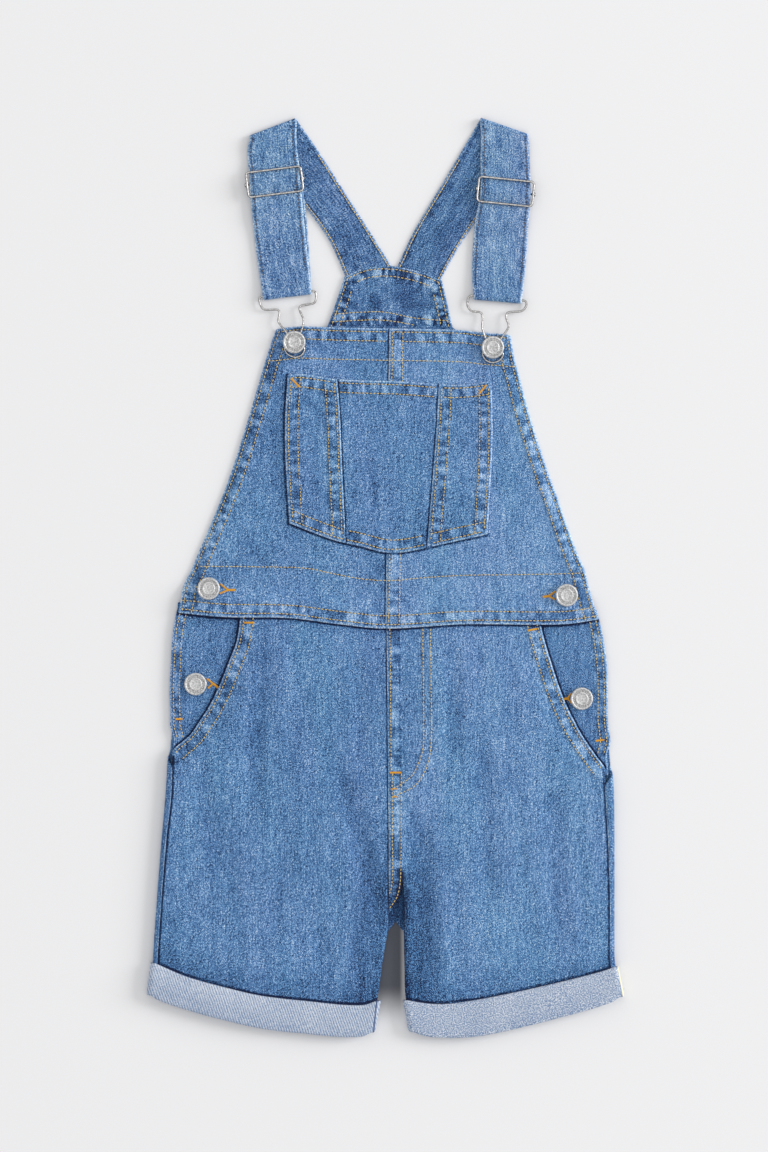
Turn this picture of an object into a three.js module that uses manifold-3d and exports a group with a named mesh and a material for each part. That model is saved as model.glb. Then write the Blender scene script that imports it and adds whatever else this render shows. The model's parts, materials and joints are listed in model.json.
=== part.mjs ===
// Children's denim dungaree shorts, laid flat on their back.
// Millimetres. +X is the viewer's right, +Y runs towards the straps and +Z up off the surface.
// The origin is on that surface, under the middle of the outline. Left and right are the viewer's.

import * as THREE from 'three';
import { mergeVertices } from 'three/addons/utils/BufferGeometryUtils.js';
import Module from 'manifold-3d';

const wasm = await Module();
wasm.setup();

// Driving dimensions
const CLOTH = 1.2; // thickness of the denim
const GAP = 0.3; // between neighbouring pieces
const LAYER = CLOTH + GAP; // one layer lying on another
const LEG_HEIGHT = 6.2; // of a leg from the surface to its upper face
const LEG_ROUND = LEG_HEIGHT / 2; // radius where the leg turns at its sides
const CUFF_HEIGHT = LEG_HEIGHT + LAYER; // of a turned-up cuff, its two layers round the leg's two
const CUFF_ROUND = CUFF_HEIGHT / 2;
const CUFF_RETURN = 0.25; // share of the cuff's depth that its inner layer reaches up
const BIB_LAP = 7; // of the bib over the top of the shorts
const MOUTH_LAP = 14; // of a front leg over the side panel behind its pocket mouth
const BUTTON_WIDTH = 17;
const BUTTON_DEPTH = 2.4;
const BUTTON_NECK = 5; // width of the neck under the cap
const WIRE = 1.6; // of the hooks and sliders
const SLIDER_LENGTH = 41.5; // across the strap, between the middles of its wires
const SLIDER_WIDTH = 18.6;

// Small helpers
const mix = (a, b, t) => a + (b - a) * t;
const clamp = (t) => Math.min(1, Math.max(0, t));
const ease = (t) => clamp(t) ** 2 * (3 - 2 * clamp(t));
const span = (count) => Array.from({ length: count + 1 }, (_, k) => k / count);

// A smooth curve through one column of a table, read at a value of its key column
function curve(table, key, column) {
  const rows = [...table].sort((a, b) => a[key] - b[key]);
  const slope = rows.map((row, k) => {
    const before = rows[Math.max(k - 1, 0)];
    const after = rows[Math.min(k + 1, rows.length - 1)];
    return (after[column] - before[column]) / (after[key] - before[key]);
  });
  return (value) => {
    const at = Math.min(Math.max(value, rows[0][key]), rows.at(-1)[key]);
    const k = Math.max(rows.findIndex((row) => row[key] >= at), 1);
    const [from, to] = [rows[k - 1], rows[k]];
    const length = to[key] - from[key];
    const t = (at - from[key]) / length;
    return (2 * t ** 3 - 3 * t ** 2 + 1) * from[column] + (t ** 3 - 2 * t ** 2 + t) * length * slope[k - 1]
      + (3 * t ** 2 - 2 * t ** 3) * to[column] + (t ** 3 - t ** 2) * length * slope[k];
  };
}

// A straight line through two points, read at y
const line = (x0, y0, x1, y1) => (y) => mix(x0, x1, (y - y0) / (y1 - y0));

// A closed body from its points and triangles, turned so that its faces point out
function body(points, triangles) {
  let volume = 0;
  for (const [a, b, c] of triangles.map((t) => t.map((k) => new THREE.Vector3(...points[k])))) {
    volume += a.dot(b.cross(c));
  }
  const geometry = new THREE.BufferGeometry();
  geometry.setAttribute('position', new THREE.Float32BufferAttribute(points.flat(), 3));
  geometry.setIndex(triangles.flatMap(([a, b, c]) => (volume > 0 ? [a, b, c] : [a, c, b])));
  return geometry;
}

const quad = (a, b, c, d) => [[a, b, c], [a, c, d]];

// A wall of cloth: a grid of outer points, a grid of inner ones, and the rim between them
function wall(across, along, outer, inner) {
  const [nu, nv] = [across.length, along.length];
  const grid = (face) => across.flatMap((u) => along.map((v) => face(u, v)));
  const points = [...grid(outer), ...grid(inner)];
  const at = (i, j, side = 0) => side * nu * nv + i * nv + j;
  const triangles = [];
  for (let i = 0; i + 1 < nu; i++) {
    for (let j = 0; j + 1 < nv; j++) {
      triangles.push(...quad(at(i, j), at(i + 1, j), at(i + 1, j + 1), at(i, j + 1)));
      triangles.push(...quad(at(i, j, 1), at(i, j + 1, 1), at(i + 1, j + 1, 1), at(i + 1, j, 1)));
    }
  }
  for (let i = 0; i + 1 < nu; i++) {
    triangles.push(...quad(at(i, 0, 1), at(i + 1, 0, 1), at(i + 1, 0), at(i, 0)));
    triangles.push(...quad(at(i, nv - 1), at(i + 1, nv - 1), at(i + 1, nv - 1, 1), at(i, nv - 1, 1)));
  }
  for (let j = 0; j + 1 < nv; j++) {
    triangles.push(...quad(at(0, j), at(0, j + 1), at(0, j + 1, 1), at(0, j, 1)));
    triangles.push(...quad(at(nu - 1, j, 1), at(nu - 1, j + 1, 1), at(nu - 1, j + 1), at(nu - 1, j)));
  }
  return body(points, triangles);
}

// A flat-lying wall: place gives x, y and the height of the underside
function layer(across, along, place) {
  const raised = (rise) => (u, v) => {
    const [x, y, z] = place(u, v);
    return [x, y, z + rise];
  };
  return wall(across, along, raised(CLOTH), raised(0));
}

// A ring: a closed profile carried round a closed line
function ring(stations, profile, place) {
  const points = stations.flatMap((s) => profile.map((p) => place(s, p)));
  const [n, m] = [stations.length, profile.length];
  const triangles = [];
  for (let i = 0; i < n; i++) {
    for (let j = 0; j < m; j++) {
      const [a, b] = [i * m, ((i + 1) % n) * m];
      triangles.push(...quad(a + j, b + j, b + ((j + 1) % m), a + ((j + 1) % m)));
    }
  }
  return body(points, triangles);
}

// Colours and finishes
const finish = (color, roughness, metalness = 0) => ({ color, roughness, metalness });
const DENIM = finish(0x6088b9, 0.92);
const DENIM_BACK = finish(0x4f78aa, 0.94);
const INSIDE = finish(0xaab6c8, 0.95);
const NICKEL = finish(0xb9b9b6, 0.32, 1);

const shortalls = new THREE.Group();

function piece(name, geometry, look) {
  const mesh = new THREE.Mesh(geometry, new THREE.MeshStandardMaterial(look));
  mesh.name = name;
  shortalls.add(mesh);
  return mesh;
}

// Outline of the shorts: the sides, and how far in from them the side seams run
const SHORTS = [
  { y: -22, left: -155, right: 157.5, leftSeam: 3.8, rightSeam: 6 },
  { y: -40, left: -158.5, right: 162, leftSeam: 3.8, rightSeam: 6 },
  { y: -62, left: -160, right: 165.5, leftSeam: 3.8, rightSeam: 6 },
  { y: -85, left: -161, right: 166.5, leftSeam: 3.8, rightSeam: 6 },
  { y: -107, left: -160.5, right: 166.5, leftSeam: 3.8, rightSeam: 6 },
  { y: -130, left: -162.5, right: 169.5, leftSeam: 3.8, rightSeam: 6 },
  { y: -163, left: -164.5, right: 171.5, leftSeam: 4.5, rightSeam: 6.5 },
  { y: -197, left: -167.5, right: 172, leftSeam: 3.8, rightSeam: 5 },
  { y: -242, left: -171, right: 172, leftSeam: 3.6, rightSeam: 3.6 },
  { y: -276, left: -173.3, right: 172, leftSeam: 3.6, rightSeam: 3.6 },
  { y: -288, left: -173.9, right: 172.2, leftSeam: 3.6, rightSeam: 3.6 },
  { y: -312, left: -176.4, right: 176, leftSeam: 3.6, rightSeam: 3.6 },
];

// Lower edge of the bib, which laps over the shorts
const BIB_FOLD = [
  { x: -156, y: -25.9 },
  { x: -121, y: -29.2 },
  { x: -72, y: -30 },
  { x: -34, y: -34.7 },
  { x: 1, y: -37.9 },
  { x: 58, y: -34.7 },
  { x: 133, y: -34.7 },
  { x: 161, y: -31 },
];
const bibFold = curve(BIB_FOLD, 'x', 'y');
const shortsTop = (x) => bibFold(x) + BIB_LAP;

// Edges of the pocket mouths, from the waist out to the sides
const MOUTHS = [
  { y: -22, left: -107, right: 113 },
  { y: -47, left: -110.5, right: 119 },
  { y: -62, left: -116, right: 123.5 },
  { y: -82, left: -124, right: 130 },
  { y: -98, left: -132, right: 136.5 },
  { y: -107, left: -138, right: 141 },
  { y: -118, left: -145.5, right: 147 },
  { y: -130, left: -158.7, right: 155 },
  { y: -142, left: -158.9, right: 164 },
];
const MOUTH_END = { left: -130, right: -142 };

// Inner edges of the legs below the crotch
const CROTCH = { y: -212, front: 3, backY: -256, back: 7.9 };
const INSEAMS = [
  { y: -222, left: 3, right: 12.7 },
  { y: -240, left: 2.9, right: 13.6 },
  { y: -256, left: 2.6, right: 14 },
  { y: -268, left: 1.6, right: 14.1 },
  { y: -278, left: -0.2, right: 14.2 },
  { y: -292, left: -2.4, right: 14.6 },
  { y: -312, left: -5, right: 15.2 },
  { y: -340, left: -9.5, right: 19.8 },
];

// Upper and lower edges of the cuffs, and their ends at those edges
const CUFFS = {
  left: {
    ends: { outer: [-178.9, -175.9], inner: [-7.5, -3] },
    top: [
      { x: -179, y: -285.5 },
      { x: -167, y: -291 },
      { x: -148, y: -299 },
      { x: -121, y: -306.5 },
      { x: -93, y: -313 },
      { x: -61, y: -316.8 },
      { x: -18, y: -320.2 },
      { x: -3, y: -315.5 },
    ],
    bottom: [
      { x: -179, y: -309.5 },
      { x: -171, y: -316 },
      { x: -145, y: -325 },
      { x: -119, y: -332 },
      { x: -93, y: -337.8 },
      { x: -67, y: -341 },
      { x: -17, y: -343.8 },
      { x: -3, y: -334 },
    ],
  },
  right: {
    ends: { outer: [179.5, 175], inner: [17.5, 13.2] },
    top: [
      { x: 13, y: -315.9 },
      { x: 35, y: -319.1 },
      { x: 54, y: -318.4 },
      { x: 99, y: -310.1 },
      { x: 151, y: -297.8 },
      { x: 170, y: -292 },
      { x: 180, y: -286 },
    ],
    bottom: [
      { x: 13, y: -336 },
      { x: 28, y: -343 },
      { x: 48, y: -344.9 },
      { x: 74, y: -343 },
      { x: 125, y: -331.3 },
      { x: 169, y: -318.4 },
      { x: 180, y: -311 },
    ],
  },
};

// The largest folds in the fronts of the legs: troughs along a line
const FOLDS = [
  { fromX: -92, fromY: -52, toX: -97, toY: -176, width: 15, depth: 1.3 },
  { fromX: -34, fromY: -144, toX: -6, toY: -246, width: 13, depth: 1.7 },
  { fromX: -50, fromY: -262, toX: -42, toY: -304, width: 11, depth: 1.1 },
  { fromX: -136, fromY: -146, toX: -121, toY: -228, width: 15, depth: 0.9 },
  { fromX: 24, fromY: -178, toX: 34, toY: -306, width: 15, depth: 2 },
  { fromX: 50, fromY: -50, toX: 52, toY: -138, width: 11, depth: 1.2 },
  { fromX: 72, fromY: -124, toX: 78, toY: -242, width: 13, depth: 1 },
  { fromX: 126, fromY: -154, toX: 131, toY: -276, width: 14, depth: 1 },
];

// Depth of the folds at a point, nothing beyond their widths
function folds(x, y) {
  let depth = 0;
  for (const fold of FOLDS) {
    const [dx, dy] = [fold.toX - fold.fromX, fold.toY - fold.fromY];
    const along = ((x - fold.fromX) * dx + (y - fold.fromY) * dy) / (dx * dx + dy * dy);
    const off = Math.hypot(x - fold.fromX - along * dx, y - fold.fromY - along * dy) / fold.width;
    const taper = ease((along + 0.15) / 0.3) * ease((1.15 - along) / 0.3);
    depth = Math.max(depth, fold.depth * ease(1 - off) * taper);
  }
  return depth;
}

// One side of the shorts: signs, seams and edges, all as x at a height y
function sideOf(side) {
  const outward = side === 'left' ? -1 : 1;
  const edge = curve(SHORTS, 'y', side);
  const inset = curve(SHORTS, 'y', `${side}Seam`);
  const mouth = curve(MOUTHS, 'y', side);
  const inseam = curve(INSEAMS, 'y', side);
  const centre = line(1.2, -35, CROTCH.front, CROTCH.y);
  const backCentre = line(1.2, -35, CROTCH.back, CROTCH.backY);
  const cuff = CUFFS[side];
  const cuffTop = curve(cuff.top, 'x', 'y');
  const cuffBottom = curve(cuff.bottom, 'x', 'y');
  const half = (GAP / 2) * outward;
  const ends = ['outer', 'inner'].map((end) => mix(...cuff.ends[end], CUFF_RETURN));
  const [low, high] = [Math.min(...ends) + CUFF_ROUND, Math.max(...ends) - CUFF_ROUND];
  const hem = (x) => {
    const at = Math.min(Math.max(x, low), high);
    return mix(cuffBottom(at), cuffTop(at), CUFF_RETURN) + 2 * GAP;
  };
  return {
    outward,
    edge,
    cuff,
    cuffTop,
    cuffBottom,
    hem,
    // How far the leg has risen on the layer of cuff that lies under it
    lift: (x, y) => LAYER * ease((cuffTop(x) + 16 - y) / 14),
    seam: (y) => edge(y) - outward * inset(y),
    front: (y) => (y > MOUTH_END[side] ? mouth(y) : edge(y) - outward * inset(y)),
    inner: (y) => (y > CROTCH.y ? centre(y) + half
      : mix(centre(CROTCH.y) + half, inseam(y), clamp((CROTCH.y - y) / 10))),
    backInner: (y) => (y > CROTCH.backY ? backCentre(y) + half
      : mix(backCentre(CROTCH.backY) + half, inseam(y) + outward, ease((CROTCH.backY - y) / 12))),
    mouth,
  };
}

// A point whose x lies between two edges and whose y lies between two others
function within(u, v, left, right, top, bottom) {
  let y = mix(top(0), bottom(0), v);
  let x = mix(left(y), right(y), u);
  for (let step = 0; step < 6; step++) {
    y = mix(top(x), bottom(x), v);
    x = mix(left(y), right(y), u);
  }
  return [x, y];
}

const LEG_ROWS = [0, 0.032, 0.075, 0.13, 0.19, 0.25, 0.31, 0.37, 0.43, 0.49, 0.55, 0.61, 0.67, 0.73, 0.79,
  0.85, 0.9, 0.945, 0.975, 1];

// A back leg lies on the surface and turns up round the side as far as the side seam
function backLeg(side) {
  const { outward, edge, seam, backInner, lift, hem } = sideOf(side);
  const flats = span(7).map((u) => ({ flat: u }));
  const turn = span(6).slice(1).map((t) => ({ flat: 1, turn: t }));
  const sections = [...flats, ...turn, { flat: 1, turn: 1, over: 1 }];
  const turned = (y) => ease((MOUTH_END[side] - y) / 14);
  const place = (section, v, depth) => {
    const flatEnd = (y) => edge(y) - outward * LEG_ROUND;
    const [x, y] = within(section.flat, v, backInner, flatEnd, bibFold, hem);
    const low = lift(x, y);
    const r = LEG_ROUND - low / 2;
    if (!section.turn) return [x, y, low + depth];
    const share = turned(y);
    const angle = mix(0.26, Math.PI, share) * section.turn;
    const centre = edge(y) - outward * r;
    const toSeam = Math.max(Math.abs(edge(y) - seam(y)) - r - GAP, 0.3);
    const over = section.over ? mix(0.6, toSeam, share ** 3) : 0;
    const out = (r - depth) * Math.sin(angle) + over * Math.cos(angle);
    const up = r - (r - depth) * Math.cos(angle) + over * Math.sin(angle);
    const turnedX = centre + outward * out;
    return [turnedX, mix(bibFold(turnedX), hem(turnedX), v), low + up];
  };
  const rows = LEG_ROWS.filter((_, k) => k !== 1);
  return wall(sections, rows, (s, v) => place(s, v, 0), (s, v) => place(s, v, CLOTH));
}

// A front leg lies over it, and turns down at the inner side below the crotch
function frontLeg(side) {
  const { outward, front, inner, lift, hem } = sideOf(side);
  const flats = span(14).map((u) => ({ flat: u }));
  const turn = span(4).slice(1).map((t) => ({ flat: 1, turn: t }));
  const sections = [...flats, ...turn, { flat: 1, turn: 1, drop: 1 }];
  const turned = (y) => ease((CROTCH.y + 8 - y) / 18);
  const mouthFade = (x, y) => {
    const inside = Math.abs(x - front(y)) / 24;
    return ease(inside + ease((MOUTH_END[side] + 8 - y) / 18));
  };
  // Underside: low under the bib and at the pocket mouth, full height over the rest, less the folds
  const under = (x, y) => {
    const waist = 2 * LAYER;
    const full = LEG_HEIGHT - CLOTH;
    const open = ease((bibFold(x) - 2 - y) / 42);
    const fade = ease((y - hem(x) - 24) / 30) * ease(Math.abs(x - front(y)) / 16);
    return mix(waist, full, open * mouthFade(x, y)) - folds(x, y) * fade;
  };
  const place = (section, v, depth) => {
    const angleAt = (y) => mix(0.2, Math.PI / 2, turned(y));
    const roundAt = (x, y) => LEG_ROUND - lift(x, y) / 2;
    const start = (y) => {
      const edgeX = inner(y);
      const r = roundAt(edgeX, y);
      return edgeX + outward * (r * Math.sin(angleAt(y)) + 0.5 * Math.cos(angleAt(y)));
    };
    const [x, y] = within(section.flat, v, front, start, shortsTop, hem);
    const top = under(x, y) + CLOTH;
    if (!section.turn) return [x, y, top - depth];
    const r = roundAt(x, y);
    const angle = angleAt(y) * section.turn;
    const reach = mix(0.5, Math.max(top - r - lift(x, y) - LAYER, 0.3), turned(y));
    const drop = section.drop ? reach : 0;
    const out = (r - depth) * Math.sin(angle) + drop * Math.cos(angle);
    const down = r - (r - depth) * Math.cos(angle) + drop * Math.sin(angle);
    return [x - outward * out, y, top - down];
  };
  return wall(sections, LEG_ROWS, (s, v) => place(s, v, 0), (s, v) => place(s, v, CLOTH));
}

// The panel behind a pocket mouth, which closes the side opening
function sidePanel(side) {
  const { outward, edge, mouth } = sideOf(side);
  const end = MOUTH_END[side] - 6;
  const outer = (y) => edge(y) - outward * 4 * ease((MOUTH_END[side] + 20 - y) / 12);
  const inner = (y) => Math.min(Math.abs(mouth(y)) - MOUTH_LAP, Math.abs(outer(y)) - 8) * outward;
  return layer(span(5), span(9), (u, v) => {
    const [x, y] = within(u, v, outer, inner, shortsTop, () => end);
    return [x, y, LAYER];
  });
}

// A cuff: a flattened ring whose outer layer folds in at the foot to a short inner one
const CUFF_PROFILE = [
  { depth: 0, height: 1 },
  { depth: 0, height: 0.5 },
  { depth: 0, height: 0.1 },
  { depth: 0.4, height: 0.02 },
  { depth: 1.35, height: 0 },
  { depth: 2.3, height: 0.02 },
  { depth: 2.7, height: 0.1 },
  { depth: 2.7, height: CUFF_RETURN },
  { depth: 1.5, height: CUFF_RETURN },
  { depth: 1.5, height: 0.1 },
  { depth: 1.35, height: 0.07 },
  { depth: 1.2, height: 0.1 },
  { depth: 1.2, height: 0.5 },
  { depth: 1.2, height: 1 },
];

function cuff(side) {
  const { cuff: { ends }, cuffTop, cuffBottom } = sideOf(side);
  const flats = span(13);
  const bends = span(6).slice(1, -1);
  const stations = [
    ...flats.map((u) => ({ u, angle: 0 })),
    ...bends.map((t) => ({ u: 1, angle: Math.PI * t })),
    ...flats.map((u) => ({ u: 1 - u, angle: Math.PI })),
    ...bends.map((t) => ({ u: 0, angle: Math.PI * (1 + t) })),
  ];
  return ring(stations, CUFF_PROFILE, (station, { depth, height }) => {
    const [outer, inner] = [mix(...ends.outer, height), mix(...ends.inner, height)];
    const facing = Math.sign(inner - outer);
    const x0 = mix(outer + facing * CUFF_ROUND, inner - facing * CUFF_ROUND, station.u);
    const x = x0 + facing * (CUFF_ROUND - depth) * Math.sin(station.angle);
    const z = CUFF_ROUND + (CUFF_ROUND - depth) * Math.cos(station.angle);
    return [x, mix(cuffBottom(x0), cuffTop(x0), height), z];
  });
}

for (const side of ['left', 'right']) {
  piece(`back_leg_${side}`, backLeg(side), DENIM_BACK);
  piece(`front_leg_${side}`, frontLeg(side), DENIM);
  piece(`side_panel_${side}`, sidePanel(side), DENIM_BACK);
  piece(`cuff_${side}`, cuff(side), INSIDE);
}

// Sides of the back and front of the bib
const BACK_BIB = [
  { y: 188, left: -43, right: 50 },
  { y: 176, left: -56, right: 64 },
  { y: 163, left: -70, right: 79 },
  { y: 150, left: -82, right: 90 },
  { y: 129, left: -90, right: 97 },
  { y: 84, left: -104, right: 111 },
  { y: 39, left: -121, right: 127 },
  { y: 6, left: -136, right: 140 },
  { y: -27, left: -146, right: 148 },
];
const BIB_SIDES = [
  { y: 188, left: -80, right: 93 },
  { y: 180, left: -83.5, right: 93.8 },
  { y: 163, left: -89, right: 96.8 },
  { y: 152, left: -92.3, right: 99.8 },
  { y: 129, left: -99, right: 105.8 },
  { y: 107, left: -105.8, right: 112.5 },
  { y: 84, left: -113, right: 120 },
  { y: 62, left: -121, right: 128 },
  { y: 39, left: -130.5, right: 136 },
  { y: 17, left: -140, right: 144 },
  { y: 6, left: -144.5, right: 149 },
  { y: -6, left: -150.5, right: 152 },
  { y: -17, left: -152.5, right: 155 },
  { y: -34, left: -156.5, right: 160.5 },
];
const BIB_TOP = [
  { x: -82, y: 186 },
  { x: -64, y: 187.9 },
  { x: -41, y: 187.2 },
  { x: 4, y: 186.2 },
  { x: 56, y: 185.2 },
  { x: 71, y: 183.6 },
  { x: 94, y: 181.6 },
];
const bibTop = curve(BIB_TOP, 'x', 'y');
const bibCentre = line(0.4, -38, 3.3, 187);
const YOKE_FOOT = 187.8;

piece('back_bib', layer(span(8), span(10), (u, v) => {
  const [left, right] = ['left', 'right'].map((side) => curve(BACK_BIB, 'y', side));
  const [x, y] = within(u, v, left, right, () => YOKE_FOOT - GAP, (at) => bibFold(at) + GAP);
  return [x, y, 0];
}), DENIM_BACK);

// Half of the bib: on the surface at its side, on the back of the bib within, and over the shorts below
function bib(side) {
  const outward = side === 'left' ? -1 : 1;
  const edge = curve(BIB_SIDES, 'y', side);
  const back = curve(BACK_BIB, 'y', side);
  const columns = [{ u: 0 }, { u: 0.5 }, ...span(6).map((inside) => ({ u: 1, inside }))];
  const rows = [0, 0.021, 0.043, 0.075, 0.11, 0.17, ...span(9).map((t) => mix(0.25, 1, t))];
  return layer(columns, rows, ({ u, inside }, v) => {
    const resting = (y) => Math.min(Math.abs(back(y)) + 3, Math.abs(edge(y)) - 5) * outward;
    const centre = (y) => bibCentre(y) + (GAP / 2) * outward;
    const columnX = (y) => (inside === undefined ? mix(edge(y), resting(y), u)
      : mix(resting(y), centre(y), inside));
    const [x, y] = within(0, v, columnX, columnX, bibFold, bibTop);
    const laid = inside === undefined ? LAYER * u ** 2 : LAYER;
    const lapped = inside ? 3 * LAYER : 2 * LAYER;
    return [x, y, mix(laid, lapped, ease((bibFold(x) + 24 - y) / 14))];
  });
}

const bibs = Object.fromEntries(['left', 'right'].map((side) => (
  [side, piece(`bib_${side}`, bib(side), DENIM)]
)));

// The bib's pocket, in three pieces parted at its two upright seams
const POCKET_TOP = [
  { x: -73, y: 151.5 },
  { x: -61, y: 151.9 },
  { x: -35, y: 148.1 },
  { x: 11, y: 146.5 },
  { x: 41, y: 144.4 },
  { x: 58, y: 144.1 },
  { x: 80, y: 146.9 },
];
const POCKET_FOOT = [
  { x: -73, y: 41.5 },
  { x: -39, y: 28.6 },
  { x: -16, y: 23.2 },
  { x: -2, y: 19.4 },
  { x: 11, y: 19 },
  { x: 27, y: 21.7 },
  { x: 42, y: 25.1 },
  { x: 78, y: 33 },
];
const POCKET_EDGES = [
  { y: 152, left: -72.6, leftSeam: -36.1, rightSeam: 40.7, right: 79.4 },
  { y: 117, left: -74.6, leftSeam: -33.6, rightSeam: 39, right: 80.3 },
  { y: 86, left: -74.2, leftSeam: -32.4, rightSeam: 36.7, right: 79.7 },
  { y: 41, left: -71.5, leftSeam: -30.2, rightSeam: 33, right: 77 },
  { y: 19, left: -71, leftSeam: -29.2, rightSeam: 31.3, right: 76 },
];
const POCKET_PIECES = [
  { name: 'left', from: 'left', to: 'leftSeam' },
  { name: 'centre', from: 'leftSeam', to: 'rightSeam' },
  { name: 'right', from: 'rightSeam', to: 'right' },
];
for (const { name, from, to } of POCKET_PIECES) {
  const [left, right] = [from, to].map((column) => curve(POCKET_EDGES, 'y', column));
  const [top, foot] = [POCKET_TOP, POCKET_FOOT].map((table) => curve(table, 'x', 'y'));
  const inset = (edge, by) => (y) => edge(y) + by;
  piece(`bib_pocket_${name}`, layer(span(4), span(6), (u, v) => {
    const [x, y] = within(u, v, inset(left, GAP / 2), inset(right, -GAP / 2), foot, top);
    return [x, y, 2 * LAYER];
  }), DENIM);
}

// The yoke of the back, where the straps join it
const YOKE_TOP = [
  { x: -30, y: 225.3 },
  { x: -21, y: 229.6 },
  { x: -11, y: 232.5 },
  { x: 6, y: 232.9 },
  { x: 22, y: 229.9 },
  { x: 32, y: 226.9 },
  { x: 42, y: 222.4 },
];
const YOKE_SIDES = [
  { y: 225, left: -30, right: 41.6 },
  { y: 199, left: -38.7, right: 47.6 },
  { y: 188, left: -42.8, right: 50 },
];
const yokeTop = curve(YOKE_TOP, 'x', 'y');
piece('back_yoke', layer(span(10), span(4), (u, v) => {
  const [left, right] = ['left', 'right'].map((side) => curve(YOKE_SIDES, 'y', side));
  const [x, y] = within(u, v, left, right, yokeTop, () => YOKE_FOOT);
  return [x, y, 0];
}), DENIM_BACK);

// Straps. A row gives both edges of the strap and the height of its middle; each strap runs from the
// yoke up its back part, folds over, and runs down its front part to the hook.
const FLAT = CLOTH / 2; // middle of a layer on the surface
const OVER_BACK = FLAT + LAYER;
const SLIDER_BAR = 2 * LAYER + WIRE / 2; // middle of the bar that the strap passes over
const SLIDER_FRAME = 3 * LAYER + WIRE / 2; // middle of the frame that it passes under
const SHOULDER_ROUND = 1.2; // to the middle of the cloth
const BAR_ROUND = WIRE / 2 + GAP + CLOTH / 2;
const HOOK_BAR = FLAT + BAR_ROUND;
const STRAPS = {
  left: {
    back: [
      { leftX: -41.2, leftY: 252.4, rightX: -14.2, rightY: 262.9 },
      { leftX: -59.2, leftY: 277.9, rightX: -31.5, rightY: 289.9 },
      { leftX: -82.5, leftY: 306.4, rightX: -50.2, rightY: 319.1 },
    ],
    join: { left: -29.2, right: 4.2 },
    shoulder: { leftX: -101.4, leftY: 331.4, rightX: -67.3, rightY: 344.4 },
    front: [
      { leftX: -102.4, leftY: 322.1, rightX: -66.8, rightY: 329.6, z: 2.8 },
      { leftX: -102.4, leftY: 313.1, rightX: -66, rightY: 318.4, z: 2.3 },
      { leftX: -101.4, leftY: 303.8, rightX: -64.7, rightY: 308.3, z: 3.6 },
      { leftX: -101.2, leftY: 300.2, rightX: -64.4, rightY: 304.7, z: 4.1 },
      { leftX: -101, leftY: 294.1, rightX: -64.3, rightY: 298.7, z: 5.55 },
      { leftX: -100.8, leftY: 288.2, rightX: -63.9, rightY: 292.8, z: 4.3 },
      { leftX: -100.4, leftY: 284.5, rightX: -63.2, rightY: 289.1, z: 3.6 },
      { leftX: -99, leftY: 271.1, rightX: -61.9, rightY: 275.6, z: 3.6 },
      { leftX: -97.8, leftY: 258, rightX: -60.6, rightY: 262.4, z: 2.3 },
      { leftX: -95.6, leftY: 240.6, rightX: -58.8, rightY: 245.1, z: 2.1 },
      { leftX: -93.2, leftY: 224, rightX: -56.8, rightY: 228.2, z: 2.6 },
    ],
    loop: { leftX: -90.8, leftY: 207.9, rightX: -55.6, rightY: 212.2 },
    under: [
      { leftX: -93, leftY: 224, rightX: -56.4, rightY: 228.2, z: FLAT },
      { leftX: -95, leftY: 241, rightX: -57.6, rightY: 245.5, z: FLAT },
      { leftX: -96.6, leftY: 258, rightX: -58.9, rightY: 262.4, z: 0.75 },
      { leftX: -97.4, leftY: 271.1, rightX: -60, rightY: 275.6, z: OVER_BACK },
      { leftX: -98.6, leftY: 285, rightX: -61.8, rightY: 289.6, z: OVER_BACK },
    ],
    bar: { leftX: -101, leftY: 294.1, rightX: -64.3, rightY: 298.7 },
  },
  right: {
    back: [
      { leftX: 22.9, leftY: 260.6, rightX: 54, rightY: 246.4 },
      { leftX: 39, leftY: 287.6, rightX: 71.8, rightY: 273.8 },
      { leftX: 55.5, leftY: 315.4, rightX: 90.5, rightY: 302.6 },
    ],
    join: { left: 9.6, right: 41.1 },
    shoulder: { leftX: 72.2, leftY: 344.6, rightX: 107.5, rightY: 332.4 },
    front: [
      { leftX: 72.4, leftY: 330.4, rightX: 107.9, rightY: 322.6, z: 2.8 },
      { leftX: 72, leftY: 315.1, rightX: 108, rightY: 310.2, z: 2.3 },
      { leftX: 72.2, leftY: 300.4, rightX: 108.7, rightY: 296.6, z: 3.6 },
      { leftX: 72, leftY: 296.8, rightX: 108.7, rightY: 293, z: 4.1 },
      { leftX: 72, leftY: 291, rightX: 108.7, rightY: 287.2, z: 5.55 },
      { leftX: 71.6, leftY: 285.2, rightX: 108.4, rightY: 281.4, z: 4.3 },
      { leftX: 70.9, leftY: 281.5, rightX: 108.2, rightY: 277.7, z: 3.6 },
      { leftX: 68.2, leftY: 268.6, rightX: 107, rightY: 264.8, z: 3.6 },
      { leftX: 67, leftY: 256, rightX: 106.2, rightY: 252.2, z: 2.3 },
      { leftX: 66, leftY: 240.6, rightX: 105.2, rightY: 236.8, z: 2.1 },
      { leftX: 65.8, leftY: 223, rightX: 103.4, rightY: 219.2, z: 2.6 },
    ],
    loop: { leftX: 66.8, leftY: 208.2, rightX: 101.8, rightY: 205.2 },
    under: [
      { leftX: 65.8, leftY: 223, rightX: 103.4, rightY: 219.2, z: FLAT },
      { leftX: 66, leftY: 240.6, rightX: 105.2, rightY: 236.8, z: FLAT },
      { leftX: 67, leftY: 256, rightX: 106.2, rightY: 252.2, z: 0.75 },
      { leftX: 68.2, leftY: 268.6, rightX: 107, rightY: 264.8, z: OVER_BACK },
      { leftX: 70.9, leftY: 281.7, rightX: 108.2, rightY: 277.9, z: OVER_BACK },
    ],
    bar: { leftX: 72, leftY: 291, rightX: 108.7, rightY: 287.2 },
  },
};

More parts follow.
